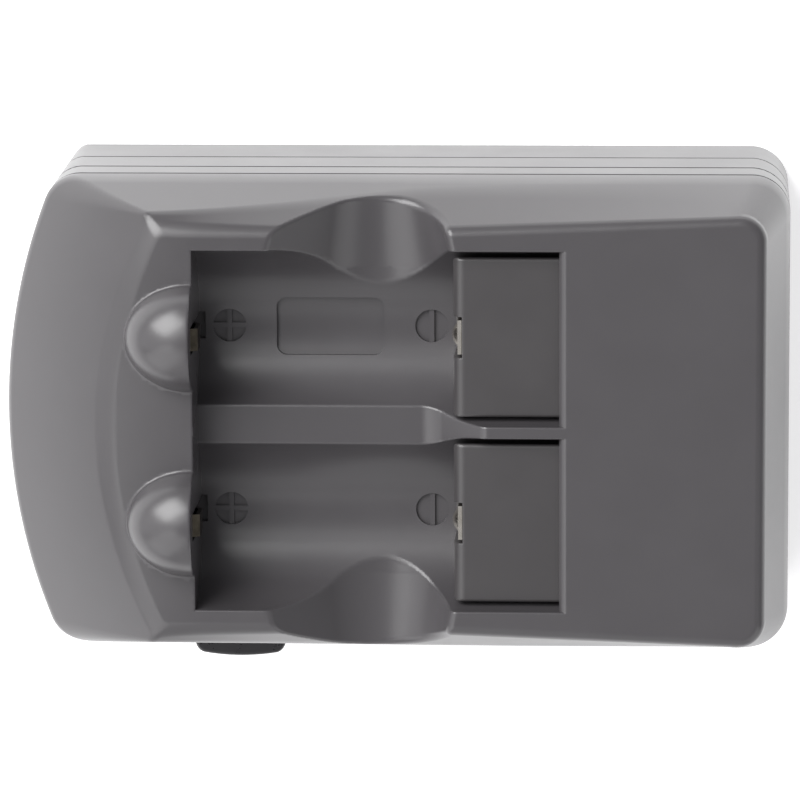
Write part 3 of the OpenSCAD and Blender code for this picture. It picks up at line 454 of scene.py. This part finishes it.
# Front housing
housing = {
    # outline below the belt line, where the left corners are tighter towards the back
    "endCentre": 20.5, "endR": 61.0, "halfW": 24.65, "right": 40.5,
    "planCorner": (1.7, 3.9), "planCornerAt": (2, 22),
    "bottom": 17.2, "belt": 24.0, "top": 35.8, "wall": 2.0, "shell": 1.6,
    # crown above it: corners by height over the belt, edges, and a deck that droops to the left
    "cornerLeft": (4.0, 0.8, 1.7), "cornerRight": (4.0, 3.2, 2.4), "cornerAt": (0, 10.2, 11.8),
    "beltEdge": 0.5, "rimEdge": 0.9, "droop": 0.007, "droopFrom": -19.0,
    # bays, and the channel in which the sliders go back under the deck
    "bayY": 9.6, "bayR": 9.0, "bayAxis": 36.3, "bayLeft": -20.1, "pocketRight": 17.07,
    "bayEdge": 0.18, "deckEdge": 0.85, "channel": (16, 36.8), "roofUnder": 34.8,
    "dividerZ": 31.5, "dividerHalf": 8.6, "dividerEdge": 0.3,
    "rampStart": 4.1, "rampEnd": 9.4, "rampRound": 0.8,
    "domeX": -20.4, "domeZ": 35.16, "domeR": 5.44, "domeL": 6.64, "domeInto": 0.5, "domeFoot": 0.3,
    # polarity marks and sunk panel
    "floor": 27.3, "plusX": -17.0, "minusX": 3.8, "markR": 1.7, "markSpan": (27.0, 30), "bar": 0.25,
    "panel": (-6.6, 5.55, 3.0, 1.1),      # middle, half length, half width, corner radius
    "panelDepth": 0.5, "panelTop": 31,
    # grooves, joint and the slot for the stem of the selector
    "beltGroove": (22.2, 22.6), "beltDepth": 0.8, "jointTop": 17.7, "jointDepth": 0.5,
    "tongueRoom": (-2.05, -0.95), "tongueTop": 18.39,
    "stemSlot": (-19.1, -11.7, -26, -21, 15.8, 18.6),
    "bosses": ((-29.0, 14.15), (33.0, 18.35)), "bossR": 3.0, "pilotR": 1.1, "pilotTop": 25,
    "slots": (      # half width, length and height of each: foot, terminal, contact nose, strip
        (1.65, (20.85, 33.9), (24.7, 28.3)), (1.9, (36.25, 36.8), (24.7, 28.3)),
        (1.4, (-22.7, -19.5), (26.77, 37.9)), (2.1, (-22.7, -21.7), (27.7, 37.9))),
}


# outline with one curved end, a straight one, and four rounded corners
def outlineField(x, y, endR, halfW, right, cornerL, cornerR):
    ay = np.abs(y)
    dx = x - housing["endCentre"]
    fy = halfW - cornerL
    fx = -np.sqrt((endR - cornerL) ** 2 - fy ** 2)
    vx, vy = dx - fx, ay - fy
    inCorner = (vx <= 0) & (vx * fy - vy * fx >= 0)
    sides = np.maximum(np.hypot(dx, ay) - endR, ay - halfW)
    left = np.where(inCorner, np.hypot(vx, vy) - cornerL, sides)
    return np.maximum(left, roundMax(x - right, ay - halfW, cornerR))


def planField(x, y, z):
    h = housing
    corner = np.interp(z, h["planCornerAt"], h["planCorner"])
    return outlineField(x, y, h["endR"], h["halfW"], h["right"], corner, h["cornerRight"][0])


lean = {      # how the crown's sides lean in
    "end": (0.90, 0.011), "right": 0.2288,      # the curved end leans more the higher it gets
    "wallLeft": 0.228, "wallRight": 0.185, "wallMiddle": 2.0, "wallSpread": 5.0,
    "rimLeft": 20.7, "rimWidens": 0.041, "rimFrom": 2.5, "rimSoft": 1.5,
    # the upper part of the long sides twists from a flat bevel to a steep wall
    "bevelAt": (-41, -36, -31, -26.1, -24.4, -19.4, -14.3, -9.3, -4.3,
                0.7, 5.8, 10.8, 17, 23.1, 31.2, 37.3, 41),
    "bevel": (2.0, 1.7, 1.42, 1.172, 1.078, 0.804, 0.629, 0.541, 0.491,
              0.451, 0.404, 0.364, 0.328, 0.298, 0.256, 0.226, 0.21),
    "soft": 0.3,
}
bevelCurve = np.polyfit(lean["bevelAt"], lean["bevel"], 6)


def crownField(x, y, z):     # sloping body above the belt line
    h, s = housing, lean
    up = z - h["belt"]
    endR = h["endR"] - s["end"][0] * up - s["end"][1] * up * np.abs(up)
    step = 1 / (1 + np.exp((x - s["wallMiddle"]) / s["wallSpread"]))
    wall = h["halfW"] - (s["wallRight"] + (s["wallLeft"] - s["wallRight"]) * step) * up
    past = s["rimSoft"] * np.log1p(np.exp((x - s["rimFrom"]) / s["rimSoft"]))
    bevel = s["rimLeft"] + s["rimWidens"] * past + np.polyval(bevelCurve, x) * (h["top"] - z)
    return outlineField(x, y, endR, softMin(wall, bevel, s["soft"]), h["right"] - s["right"] * up,
                        np.interp(up, h["cornerAt"], h["cornerLeft"]),
                        np.interp(up, h["cornerAt"], h["cornerRight"]))


def outerField(x, y, z):
    h = housing
    top = h["top"] - h["droop"] * np.maximum(h["droopFrom"] - x, 0) ** 2
    crown = roundMax(crownField(x, y, z), z - top, h["rimEdge"])
    return roundMax(planField(x, y, z), crown, h["beltEdge"])


def dividerField(x, ay, z):     # room over the low divider, up to a ramp to the deck
    h = housing
    rise = (h["top"] - h["dividerZ"]) / (h["rampEnd"] - h["rampStart"])
    ramp = (h["dividerZ"] + rise * (x - h["rampStart"]) - z) / math.hypot(1, rise)
    above = roundMax(h["dividerZ"] - z, ramp, h["rampRound"])
    return allOf(above, ay - h["dividerHalf"], h["bayLeft"] - x)


scoop = {
    "x": -1.1, "inner": 13, "lowest": 28.7, "rise": 0.95,      # the rise is over the scoop's width
    "flareR": 9.0, "steepR": 7.55, "shrink": 1.2,
    "slope": math.radians(38), "from": 16.0, "to": 22.0, "beyond": (-0.4, 1.4),
    "rimRound": (0.25, 0.8), "rimAt": (-3, 1),      # rim left of the scoop and right of it
}


def scoopField(x, ay, z):     # finger scoop: one round steep side, one that runs out in a flare
    s = scoop
    share = np.clip((ay - s["from"]) / (s["to"] - s["from"]), *s["beyond"])
    low = s["lowest"] + s["rise"] * np.maximum(share, 0)
    flareR, steepR = s["flareR"] - s["shrink"] * share, s["steepR"] - s["shrink"] * share
    dx = x - s["x"]
    zf, zs = z - low - flareR, z - low - steepR
    straight = -dx * math.sin(s["slope"]) - zf * math.cos(s["slope"])
    flare = np.where(np.arctan2(-dx, -zf) < s["slope"], np.hypot(dx, zf), straight) - flareR
    steep = np.where(zs < 0, np.hypot(dx, zs), np.abs(dx)) - steepR
    return np.maximum(np.where(dx < 0, flare, steep), s["inner"] - ay)


def domeField(x, v, z):     # half an ellipsoid behind each fixed contact
    h = housing
    dx, dr = np.minimum(x - h["domeX"], 0), np.hypot(v, z - h["domeZ"])
    near = np.hypot(dx / h["domeL"], dr / h["domeR"])
    pull = np.hypot(dx / h["domeL"] ** 2, dr / h["domeR"] ** 2)
    dome = near * (near - 1) / np.maximum(pull, 1e-9)
    return np.maximum(dome, x - h["bayLeft"] - h["domeInto"])


def markField(x, v, z, at, crossed):     # sunk disc with one or two bars left standing in it
    h = housing
    bars = np.abs(x - at) - h["bar"]
    if crossed:
        bars = np.minimum(bars, v - h["bar"])
    disc = np.maximum(np.hypot(x - at, v) - h["markR"], span(z, *h["markSpan"]))
    return carve(disc, np.maximum(bars, z - h["floor"]))


def frontField(x, y, z):
    h = housing
    ay = np.abs(y)
    v = np.abs(ay - h["bayY"])      # away from the middle of a bay
    outer, plan = outerField(x, y, z), planField(x, y, z)
    divider, scoops = dividerField(x, ay, z), scoopField(x, ay, z)
    trough = np.hypot(v, z - h["bayAxis"]) - h["bayR"]
    bay = np.maximum(trough, span(x, h["bayLeft"], h["pocketRight"]))
    channel = allOf(trough, span(x, *h["channel"]), z - h["roofUnder"])
    body = cut(outer, divider, h["dividerEdge"])
    body = cut(body, scoops, np.interp(x, scoop["rimAt"], scoop["rimRound"]))
    body = roundMin(body, domeField(x, v, z), h["domeFoot"])
    # the bays: sharp long edges, and a rounded edge where the deck ends over the sliders
    body = anyOf(cut(body, trough, h["bayEdge"]), roundMax(body, x - h["bayLeft"], h["bayEdge"]),
                 roundMax(body, h["pocketRight"] - x, h["deckEdge"]))
    body = carve(body, channel)
    # room inside, one wall from the outside and one shell from every recess
    room = np.maximum(outer + h["wall"], h["shell"] - anyOf(divider, scoops, bay, channel))
    for bx, by in h["bosses"]:
        post = np.hypot(x - bx, ay - by)
        room = np.maximum(room, h["bossR"] - post)
        body = carve(body, np.maximum(post - h["pilotR"], z - h["pilotTop"]))
    body = carve(body, room)
    for half, length, height in h["slots"]:
        body = carve(body, allOf(v - half, span(x, *length), span(z, *height)))
    body = carve(body, markField(x, v, z, h["plusX"], True), markField(x, v, z, h["minusX"], False))
    # the sunk panel, bare, in the upper trough only
    middle, halfL, halfW, r = h["panel"]
    panel = roundMax(np.abs(x - middle) - halfL, np.abs(y - h["bayY"]) - halfW, r)
    body = carve(body, allOf(panel, trough - h["panelDepth"], z - h["panelTop"]))
    belt = np.maximum(span(z, *h["beltGroove"]), -h["beltDepth"] - plan)
    joint = np.maximum(z - h["jointTop"], -h["jointDepth"] - plan)
    tongue = np.maximum(span(plan, *h["tongueRoom"]), z - h["tongueTop"])
    body = carve(body, belt, joint, tongue, blockField(x, y, z, *h["stemSlot"]))
    return np.maximum(body, h["bottom"] - z)


frontX = stops((-41.3, 0.3), (-34.5, 0.5), (-27.6, 0.34), (-20.8, 0.15), (-19.4, 0.3),
               (-18.8, 0.2), (-15.2, 0.45), (-12.4, 0.13), (-11.5, 0.45), (-1.7, 0.13),
               (-0.8, 0.4), (2.0, 0.2), (5.6, 0.27), (9.8, 0.6), (16.3, 0.17), (17.9, 1.1),
               (35.7, 0.35), (41.3, 0.4)) + 0.013
frontHalfY = stops((0.11, 0.2), (0.52, 0.09), (0.8, 0.3), (1.7, 0.13), (2.4, 0.5), (6.4, 0.13),
                   (7.4, 0.2), (11.9, 0.13), (12.8, 0.45), (17.7, 0.14), (19.0, 0.3), (21.0, 0.22),
                   (25.2, 0.4)) + 0.007
frontZ = stops((16.83, 0.1), (17.83, 0.2), (18.63, 0.8), (22.03, 0.1), (22.83, 0.35), (23.83, 0.15),
               (24.63, 0.4), (26.83, 0.1), (27.53, 0.4), (31.23, 0.15), (31.93, 0.4), (34.53, 0.12),
               (36.13, 0.35), (41.2, 0.4)) + 0.003

print("making the moulded pieces")
front = fieldPiece("front_housing_moulding", frontField, frontX, mirrored(frontHalfY), frontZ, 0.36)
front.data.materials.append(housingAbs)
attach(front, "case")
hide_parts("front_housing")


# Sliders
slider = {
    "front": 6.3, "back": 26.5, "top": 34.6, "r": 8.5, "cheek": 8.2,
    "topEdge": 0.45, "frontEdge": 1.25, "endEdge": 0.22,
    "hollowR": 7.1, "hollowFront": 8.3, "hollowTop": 33.2, "spine": 3.4,
    "boreR": 2.4, "boreFrom": 18.5, "boreZ": 31.2,
    "foot": (21, 24, -1.5, 1.5, 24.3, 29), "neck": 1.0, "neckSpan": (24.75, 25.55),
    "notchHalf": 2.1, "notchBack": 7.2, "notchLow": 28.7, "notchEdge": 0.1,
    "tail": (6, 19, -0.925, 0.925, 30.95, 31.45),      # of the contact strip
}


def sliderField(x, y, z):
    s = slider
    ay = np.abs(y)
    away = np.hypot(y, z - housing["bayAxis"])
    body = roundMax(np.maximum(away - s["r"], ay - s["cheek"]), z - s["top"], s["topEdge"])
    body = roundMax(body, roundMax(s["front"] - x, z - s["top"], s["frontEdge"]), s["endEdge"])
    body = np.maximum(body, x - s["back"])
    neck = np.maximum(s["neck"] - ay, span(z, *s["neckSpan"]))      # the keeper grips here
    body = np.minimum(body, carve(blockField(x, y, z, *s["foot"]), neck))
    hollow = allOf(away - s["hollowR"], s["spine"] - ay, s["hollowFront"] - x, z - s["hollowTop"])
    bore = np.maximum(np.hypot(y, z - s["boreZ"]) - s["boreR"], s["boreFrom"] - x)
    notch = allOf(ay - s["notchHalf"], x - s["notchBack"], s["notchLow"] - z)
    body = cut(carve(body, hollow, bore), notch, s["notchEdge"])
    return carve(body, blockField(x, y, z, *s["tail"]))


sliderX = stops((6.0, 0.12), (7.8, 0.3), (8.7, 0.9), (18.0, 0.3), (19.0, 0.7), (20.7, 0.3),
                (24.3, 0.7), (26.0, 0.3), (27.0, 0.4)) + 0.011
sliderHalfY = stops((0.09, 0.3), (0.8, 0.12), (1.1, 0.2), (2.3, 0.25), (3.6, 0.3), (7.2, 0.15),
                    (8.9, 0.3)) + 0.007
sliderZ = stops((24.03, 0.15), (25.83, 0.4), (28.43, 0.25), (30.83, 0.15), (31.63, 0.3),
                (33.03, 0.12), (35.0, 0.3)) + 0.004


def makeSlider(side, middle):
    piece = fieldPiece(
        "slider_" + side + "_moulding", lambda x, y, z: sliderField(x, y - middle, z),
        sliderX, mirrored(sliderHalfY) + middle, sliderZ, 0.5)
    piece.data.materials.append(sliderAbs)
    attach(piece, "slider_" + side)
    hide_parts("slider_" + side)


makeSlider("upper", housing["bayY"])
makeSlider("lower", -housing["bayY"])


# Selector knob
knob = {
    "x": -16.9, "halfL": 4.75, "z": 17.2, "halfH": 2.5, "face": -27.04, "back": -24.8,
    "bowR": 22.8, "r": 1.0, "edge": 0.3, "draft": 0.03,
    "stem": (-2, 2, -25.65, -21.26, -1.2, 1.2), "fork": (-1.05, 1.05, -22.75, -20, -2.4, 2.4),
}


def knobField(x, y, z):
    k = knob
    dx, dz = x - k["x"], z - k["z"]
    draft = k["draft"] * (k["halfH"] - dz)
    sides = np.abs(dx) - k["halfL"] + draft
    bow = np.hypot(dx, y - k["face"] - k["bowR"]) - k["bowR"] + draft
    body = roundMax(roundMax(sides, bow, k["r"]), np.abs(dz) - k["halfH"], k["edge"])
    body = np.minimum(np.maximum(body, y - k["back"]), blockField(dx, y, dz, *k["stem"]))
    return carve(body, blockField(dx, y, dz, *k["fork"]))


knobX = stops((-22.2, 0.12), (-20.6, 0.3), (-13.2, 0.12), (-11.6, 0.4)) + 0.011
knobY = stops((-27.4, 0.12), (-26.0, 0.3), (-25.0, 0.12), (-24.5, 0.4), (-20.8, 0.4)) + 0.007
knobZ = stops((14.3, 0.12), (15.3, 0.3), (19.1, 0.12), (20.1, 0.3)) + 0.004
knobPiece = fieldPiece("selector_knob_moulding", knobField, knobX, knobY, knobZ, 0.6)
knobPiece.data.materials.append(knobAbs)
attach(knobPiece, "selector")
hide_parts("selector_knob")


# Rear cover
cover = {
    "floor": 2.2, "edge": 0.8, "groove": (10.0, 10.4), "grooveDepth": 0.8,
    "joint": 17.2, "tongueIn": 1.0, "tongueSpan": (1, 18.4),
    "recess": (4.3, 28.4, 10.5, 7.2), "recessEdge": 0.25,      # two ends, half width, roof
    "notch": (28.4, 5.0, 3.6),                                 # finger notch: middle, radius, roof
    "roomWall": 1.6, "sideWall": 2.0,
    "pivot": (8.0, 3.5, 1.45, 12.0),                           # x, z, radius, half length
    "windowY": 6.35, "window": (6.4, 9.6, -2, 2, 6.2, 9.8),    # over each blade, for its contact
    "headR": 2.4, "seat": 10.2, "seatEdge": 0.2, "shankR": 1.35,
    "posts": ((-23.5, 17.75), (24.0, 17.75)), "postR": 1.9, "postTop": 13.0,
    "pegR": 0.8, "pegTop": 15.2,
}


def coverField(x, y, z):
    c, h = cover, housing
    ay = np.abs(y)
    plan = planField(x, y, z)
    body = np.maximum(roundMax(plan, -z, c["edge"]), z - c["joint"])
    body = np.minimum(body, np.maximum(plan + c["tongueIn"], span(z, *c["tongueSpan"])))
    # walls that stand in the room: round the plug recess, the bosses and the board's posts
    x0, x1, halfW, roof = c["recess"]
    nx, nr, nz = c["notch"]
    t = c["roomWall"]
    notch = np.hypot(x - nx, y) - nr
    walls = anyOf(
        blockField(x, ay, z, x0 - t, x1 + t, -far, halfW + c["sideWall"], -far, roof + t),
        np.maximum(notch - t, z - nz - t))
    for bx, by in h["bosses"]:
        away = np.hypot(x - bx, ay - by)
        walls = anyOf(walls, np.maximum(away - h["bossR"], z - c["joint"]))
    for px, py in c["posts"]:
        away = np.hypot(x - px, ay - py)
        walls = anyOf(walls, np.maximum(away - c["postR"], z - c["postTop"]),
                      np.maximum(away - c["pegR"], z - c["pegTop"]))
    body = carve(body, carve(np.maximum(plan + h["wall"], c["floor"] - z), walls))
    recess = np.minimum(blockField(x, ay, z, x0, x1, -far, halfW, -far, roof),
                        np.maximum(notch, z - nz))
    body = cut(body, recess, c["recessEdge"])
    px, pz, pr, reach = c["pivot"]
    body = carve(body, np.maximum(np.hypot(x - px, z - pz) - pr, ay - reach),
                 blockField(x, ay - c["windowY"], z, *c["window"]))
    for bx, by in h["bosses"]:
        away = np.hypot(x - bx, ay - by)
        body = cut(body, np.maximum(away - c["headR"], z - c["seat"]), c["seatEdge"])
        body = carve(body, away - c["shankR"])
    groove = np.maximum(span(z, *c["groove"]), -c["grooveDepth"] - plan)
    return carve(body, groove, blockField(x, y, z, *h["stemSlot"]))


coverX = stops((-41.3, 0.3), (-36.0, 0.6), (-32.4, 0.35), (-25.6, 0.5), (-21.4, 0.3), (-19.7, 0.6),
               (-13.0, 0.25), (-12.0, 0.9), (2.4, 0.3), (9.8, 0.8), (21.8, 0.45), (26.6, 0.3),
               (30.3, 0.4), (36.5, 0.6), (37.6, 0.25), (41.3, 0.3)) + 0.013
coverHalfY = stops((0.11, 0.8), (4.0, 0.35), (8.4, 0.5), (10.2, 0.2), (12.7, 0.45), (15.6, 0.35),
                   (21.8, 0.25), (25.2, 0.3)) + 0.007
coverZ = stops((-0.37, 0.14), (1.1, 0.3), (2.1, 0.2), (2.5, 0.45), (3.4, 0.2), (3.8, 0.4),
               (7.1, 0.2), (7.5, 0.5), (8.7, 0.2), (9.3, 0.4), (9.9, 0.1), (10.5, 0.6),
               (15.0, 0.2), (16.0, 0.5), (17.0, 0.13), (17.4, 0.4), (18.2, 0.12),
               (18.6, 0.12)) + 0.003
coverPiece = fieldPiece("rear_cover_moulding", coverField,
                        coverX, mirrored(coverHalfY), coverZ, 0.45)
coverPiece.data.materials.append(housingAbs)
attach(coverPiece, "case")
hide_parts("rear_cover")


# Folding plug
carrier = {
    "x": 8.0, "z": 3.5, "r": 3.2, "halfL": 10.2, "halfT": 2.2, "edge": 0.3,
    "pinR": 1.4, "pinTo": 11.9, "bladeY": 6.35, "slotHalf": 3.15, "slotHalfT": 0.75,
}


def carrierField(x, y, z):
    c = carrier
    ay = np.abs(y)
    dx, dz = x - c["x"], z - c["z"]
    away = np.hypot(dx, dz)
    block = np.maximum(span(dx, 0, c["r"]), np.abs(dz) - c["halfT"])
    body = roundMax(np.minimum(away - c["r"], block), ay - c["halfL"], c["edge"])
    body = np.minimum(body, np.maximum(away - c["pinR"], ay - c["pinTo"]))
    slot = np.maximum(np.abs(ay - c["bladeY"]) - c["slotHalf"], np.abs(dz) - c["slotHalfT"])
    return carve(body, slot)


carrierX = stops((4.4, 0.25), (11.6, 0.3)) + 0.011
carrierHalfY = stops((0.13, 0.6), (2.9, 0.2), (3.5, 0.6), (9.2, 0.2), (10.5, 0.3), (12.3, 0.3))
carrierZ = stops((-0.1, 0.25), (7.1, 0.3)) + 0.004
carrierPiece = fieldPiece("plug_carrier_moulding", carrierField,
                          carrierX, mirrored(carrierHalfY) + 0.005, carrierZ, 0.6)
carrierPiece.data.materials.append(sliderAbs)
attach(carrierPiece, "plug")
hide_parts("plug_carrier")


# Springs behind the sliders
spring = {
    "from": 18.97, "to": 36.33, "z": 31.2, "r": 2.1, "wire": 0.45, "turns": 9,
    "rings": 30, "sides": 10,                       # faces along each turn and round the wire
    "closedTurns": 0.06, "closedLength": 0.08,      # shares at the ends, where the coils lie close
    "anchor": 36.4, "keep": 0.44,
}


def makeSpring(side, y):
    s = spring
    w = s["wire"] / 2
    n, steps = s["sides"], s["turns"] * s["rings"]
    share = np.arange(steps + 1) / steps
    turn = 2 * math.pi * s["turns"] * share
    eased = np.clip((share - s["closedTurns"]) / (1 - 2 * s["closedTurns"]), 0, 1)
    climb = s["closedLength"] * share + (1 - s["closedLength"]) * eased
    along = s["from"] + w + (s["to"] - s["from"] - 2 * w) * climb
    ring = 2 * math.pi * np.arange(n) / n
    q = s["r"] - w + w * np.cos(ring)[None, :]
    x = along[:, None] + w * np.sin(ring)[None, :]
    vertices = np.stack([x, y + q * np.cos(turn)[:, None], s["z"] + q * np.sin(turn)[:, None]], 2)
    quads = [(a * n + b, (a + 1) * n + b, (a + 1) * n + (b + 1) % n, a * n + (b + 1) % n)
             for a in range(steps) for b in range(n)]
    ends = [tuple(range(n)), tuple(steps * n + n - 1 - b for b in range(n))]
    piece = newPiece("spring_" + side + "_coil", vertices.reshape(-1, 3), quads + ends)
    piece.data.polygons.foreach_set("use_smooth", [True] * len(quads) + [False] * 2)
    piece.data.materials.append(springSteel)
    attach(piece, "case")
    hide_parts("slider_spring_" + side)
    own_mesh(piece)


makeSpring("upper", housing["bayY"])
makeSpring("lower", -housing["bayY"])
print("springs are wound")


# Pieces kept from the CAD
keptNodes = {      # node: material, slot, bevel in mm
    "negative_contact_upper": (nickelSteel, "nickel_steel", 0.06),
    "negative_contact_lower": (nickelSteel, "nickel_steel", 0.06),
    # the positive contacts take the darker copy of the strip: painted shade of their slot
    "positive_contact_upper": (paintedShadeNickel, "nickel_steel", 0.06),
    "positive_contact_lower": (paintedShadeNickel, "nickel_steel", 0.06),
    "spring_terminal_upper": (nickelSteel, "nickel_steel", 0.05),
    "spring_terminal_lower": (nickelSteel, "nickel_steel", 0.05),
    "slider_keeper_upper": (springSteel, "spring_steel", 0.05),
    "slider_keeper_lower": (springSteel, "spring_steel", 0.05),
    "switch_actuator": (knobAbs, "knob_abs", 0.08),
    "selector_switch": (tinnedSteel, "tinned_steel", 0.08),
    "circuit_board": (boardLaminate, "board_laminate", 0.08),
    "transformer": (ferriteCore, "ferrite_core", 0.12),
    "mains_capacitor": (canSleeve, "capacitor_sleeve", 0.12),
    "output_capacitor": (canSleeve, "capacitor_sleeve", 0.12),
    "controller_chip": (mouldedEpoxy, "moulded_epoxy", 0.06),
    "bridge_rectifier": (mouldedEpoxy, "moulded_epoxy", 0.06),
    "fuse": (fuseCeramic, "fuse_ceramic", 0.08),
    "plug_blade_left": (bladeNickel, "blade_nickel", 0.15),
    "plug_blade_right": (bladeNickel, "blade_nickel", 0.15),
    "blade_spring_left": (nickelSteel, "nickel_steel", 0.05),
    "blade_spring_right": (nickelSteel, "nickel_steel", 0.05),
    "cover_screws": (screwSteel, "screw_steel", 0.08),
}
bevelSet = {"segments": 2, "angle": 40}      # edges sharper than this angle are bevelled

for name, (material, slotName, width) in keptNodes.items():
    piece = nodes[name]
    for place in piece.material_slots:
        place.material = material
    if not piece.material_slots:
        piece.data.materials.append(material)
    bevel = piece.modifiers.new("edge", "BEVEL")
    bevel.width = width * mm
    bevel.segments = bevelSet["segments"]
    bevel.limit_method = "ANGLE"
    bevel.angle_limit = math.radians(bevelSet["angle"])
print("CAD pieces have their finish")


# Floor
floorSet = {      # sizes in metres, but for the cloud in millimetres
    "half": 3.0, "light": "F2F2F2", "dark": "EFEFEF", "cloud": 40,
    "roughness": 0.9, "specular": 0.2, "glow": 0.50,
}


def makeFloor(s):
    r = s["half"]
    mesh = bpy.data.meshes.new("floor")
    mesh.from_pydata([(-r, -r, 0), (r, -r, 0), (r, r, 0), (-r, r, 0)], [], [(0, 1, 2, 3)])
    floor = bpy.data.objects.new("floor", mesh)
    bpy.context.scene.collection.objects.link(floor)
    # white acrylic sheet with a sanded face: almost no gloss, with a faint unevenness
    material, tree, shader, place = newMaterial("acrylic_sheet_sanded")
    cloud = noise(tree, place, s["cloud"], 2.0)
    tree.links.new(drift(tree, cloud, s, (0, 1)), shader.inputs["Base Color"])
    shader.inputs["Roughness"].default_value = s["roughness"]
    shader.inputs["Specular IOR Level"].default_value = s["specular"]
    # the sheet lets some light through from below, which keeps it nearly free of shadow
    shader.inputs["Emission Color"].default_value = (1, 1, 1, 1)
    shader.inputs["Emission Strength"].default_value = s["glow"]
    mesh.materials.append(material)


makeFloor(floorSet)
print("floor is laid")
